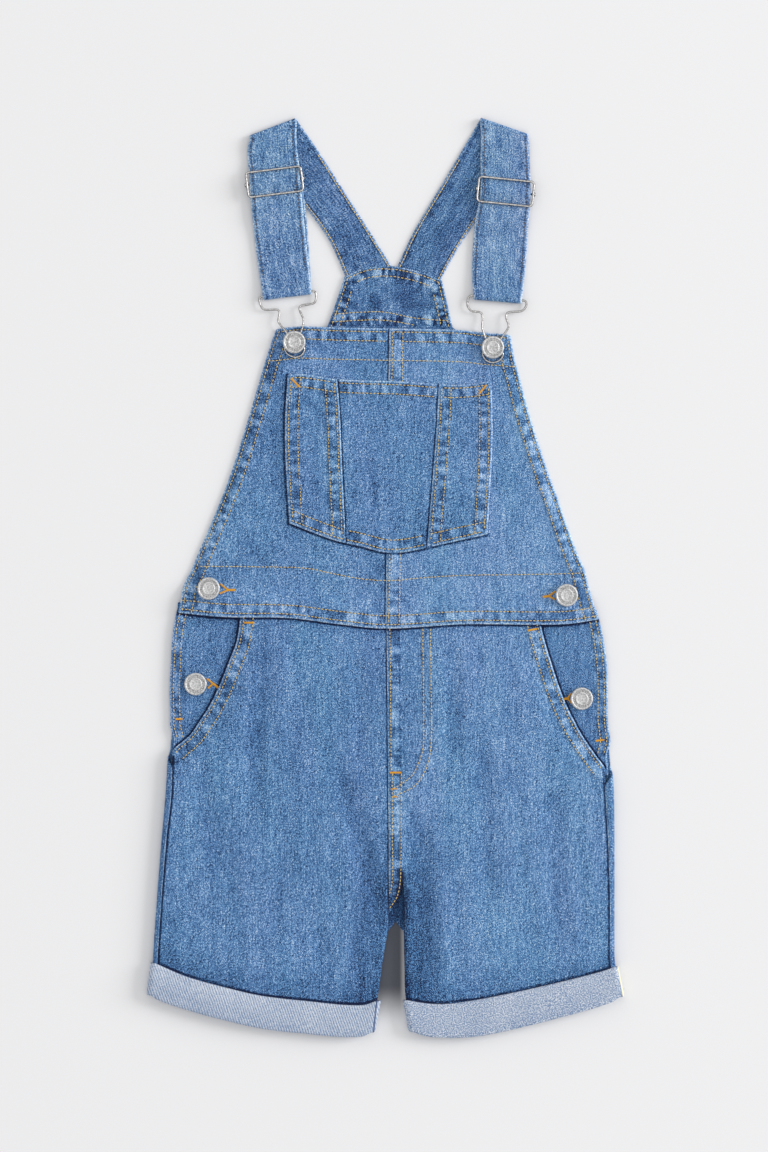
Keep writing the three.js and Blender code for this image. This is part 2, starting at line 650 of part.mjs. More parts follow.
// Rows of a strap as it goes round a straight line: from is the angle it starts at, below the line at 0
function turnRound(row, { middle, round, beyond, from, to, steps, outwards }) {
  const along = new THREE.Vector2(row.rightX - row.leftX, row.rightY - row.leftY).normalize();
  const out = new THREE.Vector2(-along.y, along.x).multiplyScalar(outwards);
  return span(steps).map((t) => {
    const angle = mix(from, to, t);
    const shift = round * Math.sin(angle) - beyond;
    const slope = Math.sin(angle);
    return {
      leftX: row.leftX + out.x * shift,
      leftY: row.leftY + out.y * shift,
      rightX: row.rightX + out.x * shift,
      rightY: row.rightY + out.y * shift,
      z: middle - round * Math.cos(angle),
      normal: [out.x * slope, out.y * slope, -Math.cos(angle)],
    };
  });
}

function strap({ back, join, shoulder, front, loop, under, bar }) {
  const lay = (rows, up) => rows.map((row) => ({ z: FLAT, ...row, normal: [0, 0, up] }));
  const fold = SHOULDER_ROUND + CLOTH / 2;
  const stations = [
    { join },
    ...lay(back, -1),
    ...turnRound(shoulder, { middle: FLAT + SHOULDER_ROUND, round: SHOULDER_ROUND, beyond: fold,
      from: 0, to: Math.PI, steps: 6, outwards: 1 }),
    ...lay(front, 1),
    ...turnRound(loop, { middle: HOOK_BAR, round: BAR_ROUND, beyond: BAR_ROUND + CLOTH / 2,
      from: Math.PI, to: 0, steps: 6, outwards: -1 }),
    ...lay(under, -1),
    ...turnRound(bar, { middle: SLIDER_BAR, round: BAR_ROUND, beyond: 0,
      from: 0, to: 1.45, steps: 4, outwards: 1 }),
  ];
  const place = (side) => (u, station) => {
    if (station.join) {
      const x = mix(join.left, join.right, u);
      return [x, yokeTop(x) + GAP, FLAT - (side * CLOTH) / 2];
    }
    const [nx, ny, nz] = station.normal;
    const reach = (side * CLOTH) / 2;
    return [
      mix(station.leftX, station.rightX, u) + nx * reach,
      mix(station.leftY, station.rightY, u) + ny * reach,
      station.z + nz * reach,
    ];
  };
  return wall(span(4), stations, place(1), place(-1));
}

// A wire bent to a closed line
function wireLoop(points, sides, steps) {
  const bends = points.map((p) => new THREE.Vector3(...p));
  const path = new THREE.CatmullRomCurve3(bends, true, 'catmullrom', 0.4);
  const tube = new THREE.TubeGeometry(path, steps, WIRE / 2, sides, true);
  tube.deleteAttribute('normal');
  tube.deleteAttribute('uv');
  return mergeVertices(tube, 0.001);
}

const toSolid = (geometry) => new wasm.Manifold(new wasm.Mesh({
  numProp: 3,
  vertProperties: new Float32Array(geometry.attributes.position.array),
  triVerts: new Uint32Array(geometry.index.array),
}));

function fromSolid(solid) {
  const { vertProperties, triVerts } = solid.getMesh();
  const geometry = new THREE.BufferGeometry();
  geometry.setAttribute('position', new THREE.BufferAttribute(vertProperties, 3));
  geometry.setIndex(new THREE.BufferAttribute(triVerts, 1));
  return geometry;
}

const bare = (geometry) => {
  geometry.deleteAttribute('normal');
  geometry.deleteAttribute('uv');
  return mergeVertices(geometry, 0.001);
};

// A slider: a wire frame with rounded corners, and a bar across its middle with a stud at each end
function slider() {
  const [a, b, corner] = [SLIDER_LENGTH / 2, SLIDER_WIDTH / 2, 2.6];
  const frame = [];
  for (const [sx, sy] of [[1, 1], [-1, 1], [-1, -1], [1, -1]]) {
    const bends = [[a, b - corner], [a - 0.8, b - 0.8], [a - corner, b]];
    if (sx * sy < 0) bends.reverse();
    frame.push(...bends.map(([x, y]) => [sx * x, sy * y, SLIDER_FRAME]));
    frame.push(sx * sy > 0 ? [0, sy * b, SLIDER_FRAME] : [sx * a, 0, SLIDER_FRAME]);
  }
  const bar = bare(new THREE.CylinderGeometry(WIRE / 2, WIRE / 2, SLIDER_LENGTH, 6));
  bar.rotateZ(Math.PI / 2).translate(0, 0, SLIDER_BAR);
  let solid = toSolid(wireLoop(frame, 6, 40)).add(toSolid(bar));
  for (const end of [-1, 1]) {
    const stud = bare(new THREE.CylinderGeometry(1.5, 1.5, 2.4, 10));
    stud.rotateZ(Math.PI / 2).translate(end * (a + 0.5), 0, mix(SLIDER_BAR, SLIDER_FRAME, 0.5));
    solid = solid.add(toSolid(stud));
  }
  return fromSolid(solid);
}

const SLIDERS = {
  left: { x: -82.7, y: 296.4, turn: 7.1 },
  right: { x: 90.35, y: 289.1, turn: -5.9 },
};

// Buttons: a cap with a raised rim and middle, on a neck
function button(neckLength) {
  const [r, d] = [BUTTON_WIDTH / 2, BUTTON_DEPTH];
  const profile = [
    [0, 0],
    [BUTTON_NECK / 2, 0],
    [BUTTON_NECK / 2, neckLength],
    [r - 0.7, neckLength],
    [r, neckLength + 0.35 * d],
    [r - 0.2, neckLength + 0.75 * d],
    [r - 1.1, neckLength + d],
    [r - 1.9, neckLength + 0.78 * d],
    [r / 2 + 0.5, neckLength + 0.78 * d],
    [r / 2 - 0.4, neckLength + d],
    [0, neckLength + d],
  ];
  const cap = new THREE.LatheGeometry(profile.map(([x, y]) => new THREE.Vector2(x, y)), 18);
  return bare(cap).rotateX(Math.PI / 2);
}

// The highest point of a piece under a round spot
function highest(mesh, x, y, radius) {
  const spots = [[0, 0], ...span(11).map((t) => [Math.cos(t * 2 * Math.PI), Math.sin(t * 2 * Math.PI)])];
  const above = 50;
  const heights = spots.map(([dx, dy]) => {
    const from = new THREE.Vector3(x + dx * radius, y + dy * radius, above);
    const hits = new THREE.Raycaster(from, new THREE.Vector3(0, 0, -1)).intersectObject(mesh);
    return hits.length ? hits[0].point.z : 0;
  });
  return Math.max(...heights);
}

// Hooks: a wire that passes through the strap's loop, narrows, and goes round the neck of a button.
// A row is a bend, and share is how far the wire has risen from the strap to the button.
const HOOKS = {
  left: [
    { x: -93.2, y: 210.2, share: 0 },
    { x: -82.5, y: 211.3, share: 0 },
    { x: -73.1, y: 212.5, share: 0 },
    { x: -63.8, y: 213.6, share: 0 },
    { x: -53.4, y: 214.6, share: 0 },
    { x: -51.6, y: 210.6, share: 0 },
    { x: -53.4, y: 205.6, share: 0.1 },
    { x: -62.6, y: 203.7, share: 0.1 },
    { x: -64, y: 200.6, share: 0.3 },
    { x: -61.2, y: 193.6, share: 0.8 },
    { x: -61.6, y: 188, share: 1 },
    { x: -64.1, y: 179, share: 1 },
    { x: -60.4, y: 171.6, share: 1 },
    { x: -62.4, y: 166.8, share: 1 },
    { x: -67.4, y: 165, share: 1 },
    { x: -73, y: 167.4, share: 1 },
    { x: -75.2, y: 172.2, share: 1 },
    { x: -71.9, y: 179, share: 1 },
    { x: -75, y: 185, share: 1 },
    { x: -79.8, y: 191.6, share: 0.8 },
    { x: -79, y: 198.4, share: 0.3 },
    { x: -81.2, y: 200.7, share: 0.1 },
    { x: -90.6, y: 200.9, share: 0.1 },
    { x: -93.8, y: 205.6, share: 0 },
  ],
  right: [
    { x: 63.8, y: 210.9, share: 0 },
    { x: 75, y: 209.9, share: 0 },
    { x: 84, y: 209.1, share: 0 },
    { x: 93.8, y: 208.3, share: 0 },
    { x: 105, y: 207.2, share: 0 },
    { x: 105.6, y: 203, share: 0 },
    { x: 102, y: 199.6, share: 0.1 },
    { x: 92.6, y: 198.7, share: 0.1 },
    { x: 90.8, y: 195, share: 0.4 },
    { x: 92.6, y: 188, share: 0.9 },
    { x: 88.4, y: 181, share: 1 },
    { x: 84.6, y: 174.4, share: 1 },
    { x: 88.4, y: 167.6, share: 1 },
    { x: 86.2, y: 163, share: 1 },
    { x: 80.8, y: 161, share: 1 },
    { x: 75.4, y: 163, share: 1 },
    { x: 73.2, y: 168, share: 1 },
    { x: 76.8, y: 174.4, share: 1 },
    { x: 74.6, y: 181, share: 1 },
    { x: 72.8, y: 187.6, share: 0.9 },
    { x: 73.2, y: 194.4, share: 0.4 },
    { x: 71.6, y: 198.6, share: 0.1 },
    { x: 64.8, y: 199.8, share: 0.1 },
    { x: 61.8, y: 204.4, share: 0 },
  ],
};
const BIB_BUTTONS = { left: { x: -68, y: 176.2 }, right: { x: 80.7, y: 172.3 } };

for (const side of ['left', 'right']) {
  piece(`strap_${side}`, strap(STRAPS[side]), DENIM);
  const { x, y, turn } = SLIDERS[side];
  const fitted = slider().rotateZ(THREE.MathUtils.degToRad(turn)).translate(x, y, 0);
  piece(`slider_${side}`, fitted, NICKEL);

  const at = BIB_BUTTONS[side];
  const cloth = highest(bibs[side], at.x, at.y - 2, 13);
  const wire = cloth + GAP + WIRE / 2;
  const bends = HOOKS[side].map((bend) => [bend.x, bend.y, mix(HOOK_BAR, wire, bend.share)]);
  piece(`hook_${side}`, wireLoop(bends, 6, 68), NICKEL);

  const foot = highest(bibs[side], at.x, at.y, BUTTON_NECK / 2) + GAP;
  const neck = wire + WIRE / 2 + GAP - foot;
  piece(`bib_button_${side}`, button(neck).translate(at.x, at.y, foot), NICKEL);
}

// Buttons of the waist and of the side openings, each just above the cloth it fastens
const CLOSED_NECK = 0.5;
const WAIST_BUTTONS = { left: { x: -132.1, y: -8.3 }, right: { x: 136.1, y: -13.3 } };
const SIDE_BUTTONS = { left: { x: -142, y: -79.9 }, right: { x: 147.4, y: -90.8 } };
for (const side of ['left', 'right']) {
  const places = { waist: [WAIST_BUTTONS[side], bibs[side]], side: [SIDE_BUTTONS[side], null] };
  for (const [name, [at, cloth]] of Object.entries(places)) {
    const under = cloth ?? shortalls.getObjectByName(`side_panel_${side}`);
    const foot = highest(under, at.x, at.y, BUTTON_WIDTH / 2) + GAP;
    piece(`${name}_button_${side}`, button(CLOSED_NECK).translate(at.x, at.y, foot), NICKEL);
  }
}

export default shortalls;
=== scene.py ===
"""Children's denim dungaree shorts, laid flat on their back, with a pale studio floor.

Tables and sizes are in millimetres. +X is the viewer's right, +Y runs towards the straps, +Z is up.
"""

import json
import math

import bpy
import numpy as np
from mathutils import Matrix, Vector
from mathutils.bvhtree import BVHTree

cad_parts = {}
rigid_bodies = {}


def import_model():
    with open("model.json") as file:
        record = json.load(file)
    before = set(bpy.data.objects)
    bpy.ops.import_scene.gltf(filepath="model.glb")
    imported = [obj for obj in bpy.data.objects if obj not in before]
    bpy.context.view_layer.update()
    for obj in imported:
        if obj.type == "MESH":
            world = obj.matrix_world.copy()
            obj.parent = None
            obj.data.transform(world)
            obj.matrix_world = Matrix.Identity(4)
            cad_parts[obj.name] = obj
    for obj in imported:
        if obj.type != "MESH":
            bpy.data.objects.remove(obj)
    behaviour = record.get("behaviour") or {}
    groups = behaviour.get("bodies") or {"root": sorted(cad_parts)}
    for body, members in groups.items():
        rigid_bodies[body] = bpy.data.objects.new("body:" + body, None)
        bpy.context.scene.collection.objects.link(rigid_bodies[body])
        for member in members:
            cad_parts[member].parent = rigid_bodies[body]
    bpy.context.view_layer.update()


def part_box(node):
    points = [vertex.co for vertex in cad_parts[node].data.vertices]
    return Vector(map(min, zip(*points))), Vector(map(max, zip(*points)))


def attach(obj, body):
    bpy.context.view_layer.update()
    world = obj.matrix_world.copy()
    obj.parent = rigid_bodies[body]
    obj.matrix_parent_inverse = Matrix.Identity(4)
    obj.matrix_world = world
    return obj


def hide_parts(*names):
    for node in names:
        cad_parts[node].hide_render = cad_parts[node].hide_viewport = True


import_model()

bl_info = {
    "name": "Denim dungaree shorts",
    "version": (1, 0, 0),
    "blender": (4, 5, 0),
    "location": "3D View > Sidebar > Dungarees",
    "description": "Cloth, stitching and metal of a pair of dungaree shorts laid flat",
    "category": "Object",
}

MM = 0.001
SIDES = ("left", "right")

# Sizes of the layers, as they lie on each other
CLOTH = 1.2
GAP = 0.3
LAYER = CLOTH + GAP
LEG_HEIGHT = 6.2
LEG_ROUND = LEG_HEIGHT / 2
CUFF_HEIGHT = LEG_HEIGHT + LAYER
CUFF_ROUND = CUFF_HEIGHT / 2
CUFF_RETURN = 0.25
BIB_LAP = 7
LEG_WIDTH, LEG_LENGTH = 165, 300
BIB_WIDTH, BIB_HEIGHT = 120, 222
FINE_EDGE = 14  # of a leg or a half of the bib, where the mesh is finer
MOUTH_LAP = 14
WIRE = 1.6
SLIDER_LENGTH = 41.5
SLIDER_WIDTH = 18.6
BUTTON_WIDTH = 17
BUTTON_DEPTH = 2.4
BUTTON_NECK = 5

# Stitching: how far the rows run from an edge
FIRST_ROW = 2.2
SECOND_ROW = 9.2


def table(names, *rows):
    """Rows of numbers as named columns."""
    return dict(zip(names.split(), np.array(rows, float).T))


# Outline of the shorts, and how far in from it the side seams run
SHORTS = table(
    "y left right leftSeam rightSeam",
    (-22, -155, 157.5, 3.8, 6),
    (-40, -158.5, 162, 3.8, 6),
    (-62, -160, 165.5, 3.8, 6),
    (-85, -161, 166.5, 3.8, 6),
    (-107, -160.5, 166.5, 3.8, 6),
    (-130, -162.5, 169.5, 3.8, 6),
    (-163, -164.5, 171.5, 4.5, 6.5),
    (-197, -167.5, 172, 3.8, 5),
    (-242, -171, 172, 3.6, 3.6),
    (-276, -173.3, 172, 3.6, 3.6),
    (-288, -173.9, 172.2, 3.6, 3.6),
    (-312, -176.4, 176, 3.6, 3.6),
)
BIB_FOLD = table(
    "x y",
    (-156, -25.9),
    (-121, -29.2),
    (-72, -30),
    (-34, -34.7),
    (1, -37.9),
    (58, -34.7),
    (133, -34.7),
    (161, -31),
)
MOUTHS = table(
    "y left right",
    (-22, -107, 113),
    (-47, -110.5, 119),
    (-62, -116, 123.5),
    (-82, -124, 130),
    (-98, -132, 136.5),
    (-107, -138, 141),
    (-118, -145.5, 147),
    (-130, -158.7, 155),
    (-142, -158.9, 164),
)
MOUTH_END = {"left": -130, "right": -142}
CROTCH_Y, CROTCH_X = -212, 3
CROTCH_BACK_Y, CROTCH_BACK_X = -256, 7.9
INSEAMS = table(
    "y left right",
    (-222, 3, 12.7),
    (-240, 2.9, 13.6),
    (-256, 2.6, 14),
    (-268, 1.6, 14.1),
    (-278, -0.2, 14.2),
    (-292, -2.4, 14.6),
    (-312, -5, 15.2),
    (-340, -9.5, 19.8),
)
CUFF_ENDS = {
    "left": {"outer": (-178.9, -175.9), "inner": (-7.5, -3)},
    "right": {"outer": (179.5, 175), "inner": (17.5, 13.2)},
}
CUFF_SEAMS = {"left": (-8.7, -6.1), "right": (178.2, 174.8)}
CUFF_TOPS = {
    "left": table(
        "x y",
        (-179, -285.5),
        (-167, -291),
        (-148, -299),
        (-121, -306.5),
        (-93, -313),
        (-61, -316.8),
        (-18, -320.2),
        (-3, -315.5),
    ),
    "right": table(
        "x y",
        (13, -315.9),
        (35, -319.1),
        (54, -318.4),
        (99, -310.1),
        (151, -297.8),
        (170, -292),
        (180, -286),
    ),
}
CUFF_FEET = {
    "left": table(
        "x y",
        (-179, -309.5),
        (-171, -316),
        (-145, -325),
        (-119, -332),
        (-93, -337.8),
        (-67, -341),
        (-17, -343.8),
        (-3, -334),
    ),
    "right": table(
        "x y",
        (13, -336),
        (28, -343),
        (48, -344.9),
        (74, -343),
        (125, -331.3),
        (169, -318.4),
        (180, -311),
    ),
}

# Folds in the fronts of the legs: troughs along a line, the deep ones first
FOLDS = table(
    "fromX fromY toX toY width depth",
    (-92, -52, -97, -176, 15, 1.3),
    (-34, -144, -6, -246, 13, 1.7),
    (-50, -262, -42, -304, 11, 1.1),
    (-136, -146, -121, -228, 15, 0.9),
    (24, -178, 34, -306, 15, 2.0),
    (50, -50, 52, -138, 11, 1.2),
    (72, -124, 78, -242, 13, 1.0),
    (126, -154, 131, -276, 14, 1.0),
)
CREASES = table(
    "fromX fromY toX toY width depth",
    (-66, -48, -62, -96, 8, 0.45),
    (-128, -60, -118, -112, 9, 0.4),
    (-112, -214, -108, -286, 9, 0.45),
    (-76, -196, -82, -268, 8, 0.4),
    (-22, -62, -18, -120, 7, 0.45),
    (-24, -268, -16, -310, 7, 0.6),
    (-146, -228, -148, -278, 7, 0.35),
    (92, -60, 96, -118, 9, 0.4),
    (104, -196, 110, -282, 9, 0.4),
    (52, -222, 56, -300, 9, 0.45),
    (146, -200, 150, -262, 8, 0.35),
    (70, -48, 71, -82, 6, 0.4),
    (22, -262, 26, -310, 6, 0.7),
)

# Right edge of the seam that goes down between the legs
CROTCH_STRIP = table(
    "y right",
    (-176, 13.3),
    (-205, 13.4),
    (-222, 13.1),
    (-229, 12.5),
    (-238, 10.6),
    (-244, 8),
    (-248, 5.2),
    (-251, 3.4),
)

# Sides of the back and of the front of the bib, and its upper edge
BACK_BIB = table(
    "y left right",
    (188, -43, 50),
    (176, -56, 64),
    (163, -70, 79),
    (150, -82, 90),
    (129, -90, 97),
    (84, -104, 111),
    (39, -121, 127),
    (6, -136, 140),
    (-27, -146, 148),
)
BIB_SIDES = table(
    "y left right",
    (188, -80, 93),
    (180, -83.5, 93.8),
    (163, -89, 96.8),
    (152, -92.3, 99.8),
    (129, -99, 105.8),
    (107, -105.8, 112.5),
    (84, -113, 120),
    (62, -121, 128),
    (39, -130.5, 136),
    (17, -140, 144),
    (6, -144.5, 149),
    (-6, -150.5, 152),
    (-17, -152.5, 155),
    (-34, -156.5, 160.5),
)
BIB_CREASES = table(
    "fromX fromY toX toY width depth",
    (-62, 137, -44, 116, 4, 1.2),
    (-8, 79, -6, 52, 5, 1.2),
    (-4, 12, -3, -26, 6, 1.3),
    (-10, 4, -22, -18, 5, 0.8),
    (14, -4, 18, -26, 5, 0.8),
    (-44, 141, -40, 120, 5, 0.8),
    (52, 137, 48, 118, 5, 0.7),
    (-31, 52, -28, 24, 8, 0.9),
    (34, 52, 36, 28, 8, 0.9),
    (-104, 30, -86, 4, 7, 0.8),
    (-84, 120, -78, 60, 8, 0.7),
    (88, 120, 86, 60, 8, 0.5),
    (-20, 176, -14, 160, 5, 0.7),
    (22, 176, 18, 158, 5, 0.7),
)
BIB_TOP = table(
    "x y",
    (-82, 186),
    (-64, 187.9),
    (-41, 187.2),
    (4, 186.2),
    (56, 185.2),
    (71, 183.6),
    (94, 181.6),
)
FACING_DEPTH = 23.5  # of the facing's stitched edge below the top of the bib
WAIST_FACING = table(
    "x y",
    (-139.5, 8.4),
    (-91.5, 7.9),
    (-59, 6.9),
    (-34.5, 1.9),
    (-9.8, -1.9),
    (11.2, -2),
    (21, -0.8),
    (58.5, 1.6),
    (108, 2.2),
    (147.8, 3.2),
)

# The bib's pocket and its two upright seams
POCKET_TOP = table(
    "x y",
    (-73, 151.5),
    (-61, 151.9),
    (-35, 148.1),
    (11, 146.5),
    (41, 144.4),
    (58, 144.1),
    (80, 146.9),
)
POCKET_FOOT = table(
    "x y",
    (-73, 41.5),
    (-39, 28.6),
    (-16, 23.2),
    (-2, 19.4),
    (11, 19),
    (27, 21.7),
    (42, 25.1),
    (78, 33),
)
POCKET_EDGES = table(
    "y left leftSeam rightSeam right",
    (152, -72.6, -36.1, 40.7, 79.4),
    (117, -74.6, -33.6, 39, 80.3),
    (86, -74.2, -32.4, 36.7, 79.7),
    (41, -71.5, -30.2, 33, 77),
    (19, -71, -29.2, 31.3, 76),
)

# The yoke of the back
YOKE_TOP = table(
    "x y",
    (-30, 225.3),
    (-21, 229.6),
    (-11, 232.5),
    (6, 232.9),
    (22, 229.9),
    (32, 226.9),
    (42, 222.4),
)
YOKE_SIDES = table("y left right", (225, -30, 41.6), (199, -38.7, 47.6), (188, -42.8, 50))
YOKE_FOOT = 187.8
YOKE_ROWS = (
    ((-38.3, 197.6), (-14.3, 199.1), (1.5, 198.7), (21.8, 194.6), (48, 192.4)),
    ((-40.5, 191.6), (-11.3, 193.1), (3.8, 192.4), (22, 189.2)),
)

# Straps: both edges of a strap and the height of its middle, from the yoke to its end at the slider
FLAT = CLOTH / 2
OVER_BACK = FLAT + LAYER
SLIDER_BAR = 2 * LAYER + WIRE / 2
SLIDER_FRAME = 3 * LAYER + WIRE / 2
SHOULDER_ROUND = 1.2
BAR_ROUND = WIRE / 2 + GAP + CLOTH / 2
HOOK_BAR = FLAT + BAR_ROUND
STRAP_BACKS = {
    "left": (
        (-41.2, 252.4, -14.2, 262.9, FLAT),
        (-59.2, 277.9, -31.5, 289.9, FLAT),
        (-82.5, 306.4, -50.2, 319.1, FLAT),
    ),
    "right": (
        (22.9, 260.6, 54, 246.4, FLAT),
        (39, 287.6, 71.8, 273.8, FLAT),
        (55.5, 315.4, 90.5, 302.6, FLAT),
    ),
}
STRAP_JOINS = {"left": (-29.2, 4.2), "right": (9.6, 41.1)}
STRAP_SHOULDERS = {"left": (-101.4, 331.4, -67.3, 344.4), "right": (72.2, 344.6, 107.5, 332.4)}
STRAP_FRONTS = {
    "left": (
        (-102.4, 322.1, -66.8, 329.6, 2.8),
        (-102.4, 313.1, -66, 318.4, 2.3),
        (-101.4, 303.8, -64.7, 308.3, 3.6),
        (-101.2, 300.2, -64.4, 304.7, 4.1),
        (-101, 294.1, -64.3, 298.7, 5.55),
        (-100.8, 288.2, -63.9, 292.8, 4.3),
        (-100.4, 284.5, -63.2, 289.1, 3.6),
        (-99, 271.1, -61.9, 275.6, 3.6),
        (-97.8, 258, -60.6, 262.4, 2.3),
        (-95.6, 240.6, -58.8, 245.1, 2.1),
        (-93.2, 224, -56.8, 228.2, 2.6),
    ),
    "right": (
        (72.4, 330.4, 107.9, 322.6, 2.8),
        (72, 315.1, 108, 310.2, 2.3),
        (72.2, 300.4, 108.7, 296.6, 3.6),
        (72, 296.8, 108.7, 293, 4.1),
        (72, 291, 108.7, 287.2, 5.55),
        (71.6, 285.2, 108.4, 281.4, 4.3),
        (70.9, 281.5, 108.2, 277.7, 3.6),
        (68.2, 268.6, 107, 264.8, 3.6),
        (67, 256, 106.2, 252.2, 2.3),
        (66, 240.6, 105.2, 236.8, 2.1),
        (65.8, 223, 103.4, 219.2, 2.6),
    ),
}
STRAP_LOOPS = {"left": (-90.8, 207.9, -55.6, 212.2), "right": (66.8, 208.2, 101.8, 205.2)}
STRAP_UNDERS = {
    "left": (
        (-93, 224, -56.4, 228.2, FLAT),
        (-95, 241, -57.6, 245.5, FLAT),
        (-96.6, 258, -58.9, 262.4, 0.75),
        (-97.4, 271.1, -60, 275.6, OVER_BACK),
        (-98.6, 285, -61.8, 289.6, OVER_BACK),
    ),
    "right": (
        (65.8, 223, 103.4, 219.2, FLAT),
        (66, 240.6, 105.2, 236.8, FLAT),
        (67, 256, 106.2, 252.2, 0.75),
        (68.2, 268.6, 107, 264.8, OVER_BACK),
        (70.9, 281.7, 108.2, 277.9, OVER_BACK),
    ),
}
STRAP_BARS = {"left": (-101, 294.1, -64.3, 298.7), "right": (72, 291, 108.7, 287.2)}

# Metal: sliders, hooks and buttons. A hook's share is how far the wire has risen to the button.
SLIDERS = {"left": (-82.7, 296.4, 7.1), "right": (90.35, 289.1, -5.9)}
HOOKS = {
    "left": table(
        "x y share",
        (-93.2, 210.2, 0),
        (-82.5, 211.3, 0),
        (-73.1, 212.5, 0),
        (-63.8, 213.6, 0),
        (-53.4, 214.6, 0),
        (-51.6, 210.6, 0),
        (-53.4, 205.6, 0.1),
        (-62.6, 203.7, 0.1),
        (-64, 200.6, 0.3),
        (-61.2, 193.6, 0.8),
        (-61.6, 188, 1),
        (-64.1, 179, 1),
        (-60.4, 171.6, 1),
        (-62.4, 166.8, 1),
        (-67.4, 165, 1),
        (-73, 167.4, 1),
        (-75.2, 172.2, 1),
        (-71.9, 179, 1),
        (-75, 185, 1),
        (-79.8, 191.6, 0.8),
        (-79, 198.4, 0.3),
        (-81.2, 200.7, 0.1),
        (-90.6, 200.9, 0.1),
        (-93.8, 205.6, 0),
    ),
    "right": table(
        "x y share",
        (63.8, 210.9, 0),
        (75, 209.9, 0),
        (84, 209.1, 0),
        (93.8, 208.3, 0),
        (105, 207.2, 0),
        (105.6, 203, 0),
        (102, 199.6, 0.1),
        (92.6, 198.7, 0.1),
        (90.8, 195, 0.4),
        (92.6, 188, 0.9),
        (88.4, 181, 1),
        (84.6, 174.4, 1),
        (88.4, 167.6, 1),
        (86.2, 163, 1),
        (80.8, 161, 1),
        (75.4, 163, 1),
        (73.2, 168, 1),
        (76.8, 174.4, 1),
        (74.6, 181, 1),
        (72.8, 187.6, 0.9),
        (73.2, 194.4, 0.4),
        (71.6, 198.6, 0.1),
        (64.8, 199.8, 0.1),
        (61.8, 204.4, 0),
    ),
}
BUTTONS = {
    "bib_button_left": (-68, 176.2),
    "bib_button_right": (80.7, 172.3),
    "waist_button_left": (-132.1, -8.3),
    "waist_button_right": (136.1, -13.3),
    "side_button_left": (-142, -79.9),
    "side_button_right": (147.4, -90.8),
}

# Rows of stitches that don't follow an edge
FLY_ROWS = (
    (
        (33.9, -38), (34.8, -117.4), (34, -130), (31.1, -142.1),
        (26.8, -151), (21, -157.1), (5.6, -164.1),
    ),
    (
        (28.2, -38), (28.9, -121.1), (27.8, -131), (24.8, -139.9),
        (21.5, -146.5), (17.3, -151.1), (5.6, -158.6),
    ),
)
CROTCH_ROWS = (
    (
        (12.2, -146.5), (12.1, -190), (11.9, -220.1), (11.3, -228.4),
        (9.8, -237.4), (7.9, -241.5), (3, -248.3),
    ),
    ((5.4, -146.5), (5.4, -190), (5.5, -223.9), (4.5, -233.4), (3, -237.7)),
)

# Thick sewing: bartacks from end to end, bars of the fly from their left end, and buttonholes, whose
# two short sides meet before they run on under the button
BARTACKS = {
    "pocket_left": (-70, 148.7, -64.2, 142.9),
    "pocket_right": (75.7, 144.1, 70.5, 137.7),
    "mouth_left": (-105.7, -33.9, -98, -33.9),
    "mouth_right": (106.7, -39.7, 113.8, -38.5),
    "side_left": (-157, -106.1, -151.8, -106.1),
    "side_right": (157.7, -122.5, 164.2, -121.6),
    "fly": (3.7, -146.1, 12.1, -146.1),
}
FLY_BARS = ((4.3, -158.3), (4.9, -164.3))
FLY_BAR_LENGTH = 4.8
BUTTONHOLES = {
    "waist_left": ((-123.4, -4.9), (-123.7, -12), (-117.8, -9.4), (-112.2, -9.4)),
    "waist_right": ((127.8, -10.4), (127.3, -16.4), (122.4, -14), (118.2, -14.6)),
    "side_left": ((-133.6, -75.8), (-132.8, -83), (-129, -79.5), (-124.8, -82.7)),
    "side_right": ((139.3, -87), (139.5, -94), (137, -90.6), (133.7, -91.2)),
}


# Curves and grids

def mix(a, b, t):
    """The value a share of the way from one to another."""
    return a + (b - a) * t


def ease(t):
    """A soft rise from 0 to 1."""
    t = np.clip(t, 0, 1)
    return t * t * (3 - 2 * t)


def curve(rows, key, column):
    """A smooth curve through one column of a table, read at values of its key column."""
    order = np.argsort(rows[key])
    k, c = rows[key][order], rows[column][order]
    before = np.maximum(np.arange(len(k)) - 1, 0)
    after = np.minimum(np.arange(len(k)) + 1, len(k) - 1)
    slope = (c[after] - c[before]) / (k[after] - k[before])

    def read(value):
        at = np.clip(value, k[0], k[-1])
        i = np.clip(np.searchsorted(k, at), 1, len(k) - 1)
        length = k[i] - k[i - 1]
        t = (at - k[i - 1]) / length
        start = (2 * t**3 - 3 * t**2 + 1) * c[i - 1] + (t**3 - 2 * t**2 + t) * length * slope[i - 1]
        return start + (3 * t**2 - 2 * t**3) * c[i] + (t**3 - t**2) * length * slope[i]

    return read


def straight(x0, y0, x1, y1):
    """A straight line through two points, read at y."""
    return lambda y: mix(x0, x1, (y - y0) / (y1 - y0))


def within(u, v, left, right, top, foot):
    """Points whose x lies between two edges and whose y lies between two others."""
    y = mix(top(0.0), foot(0.0), v)
    x = mix(left(y), right(y), u)
    for _ in range(6):
        y = mix(top(x), foot(x), v)
        x = mix(left(y), right(y), u)
    return x, y


def stations(length, step, *finer):
    """Shares from 0 to 1 about a step apart, half as far apart in each stretch of finer ones."""
    shares = [0.0]
    while shares[-1] < 1:
        at = shares[-1] * length
        near = any(low <= at < high for low, high in finer)
        shares.append(shares[-1] + (step / 2 if near else step) / length)
    return np.array(shares) / shares[-1]


def stack(x, y, z):
    """Points from their three coordinates."""
    return np.stack(np.broadcast_arrays(x, y, z), -1)


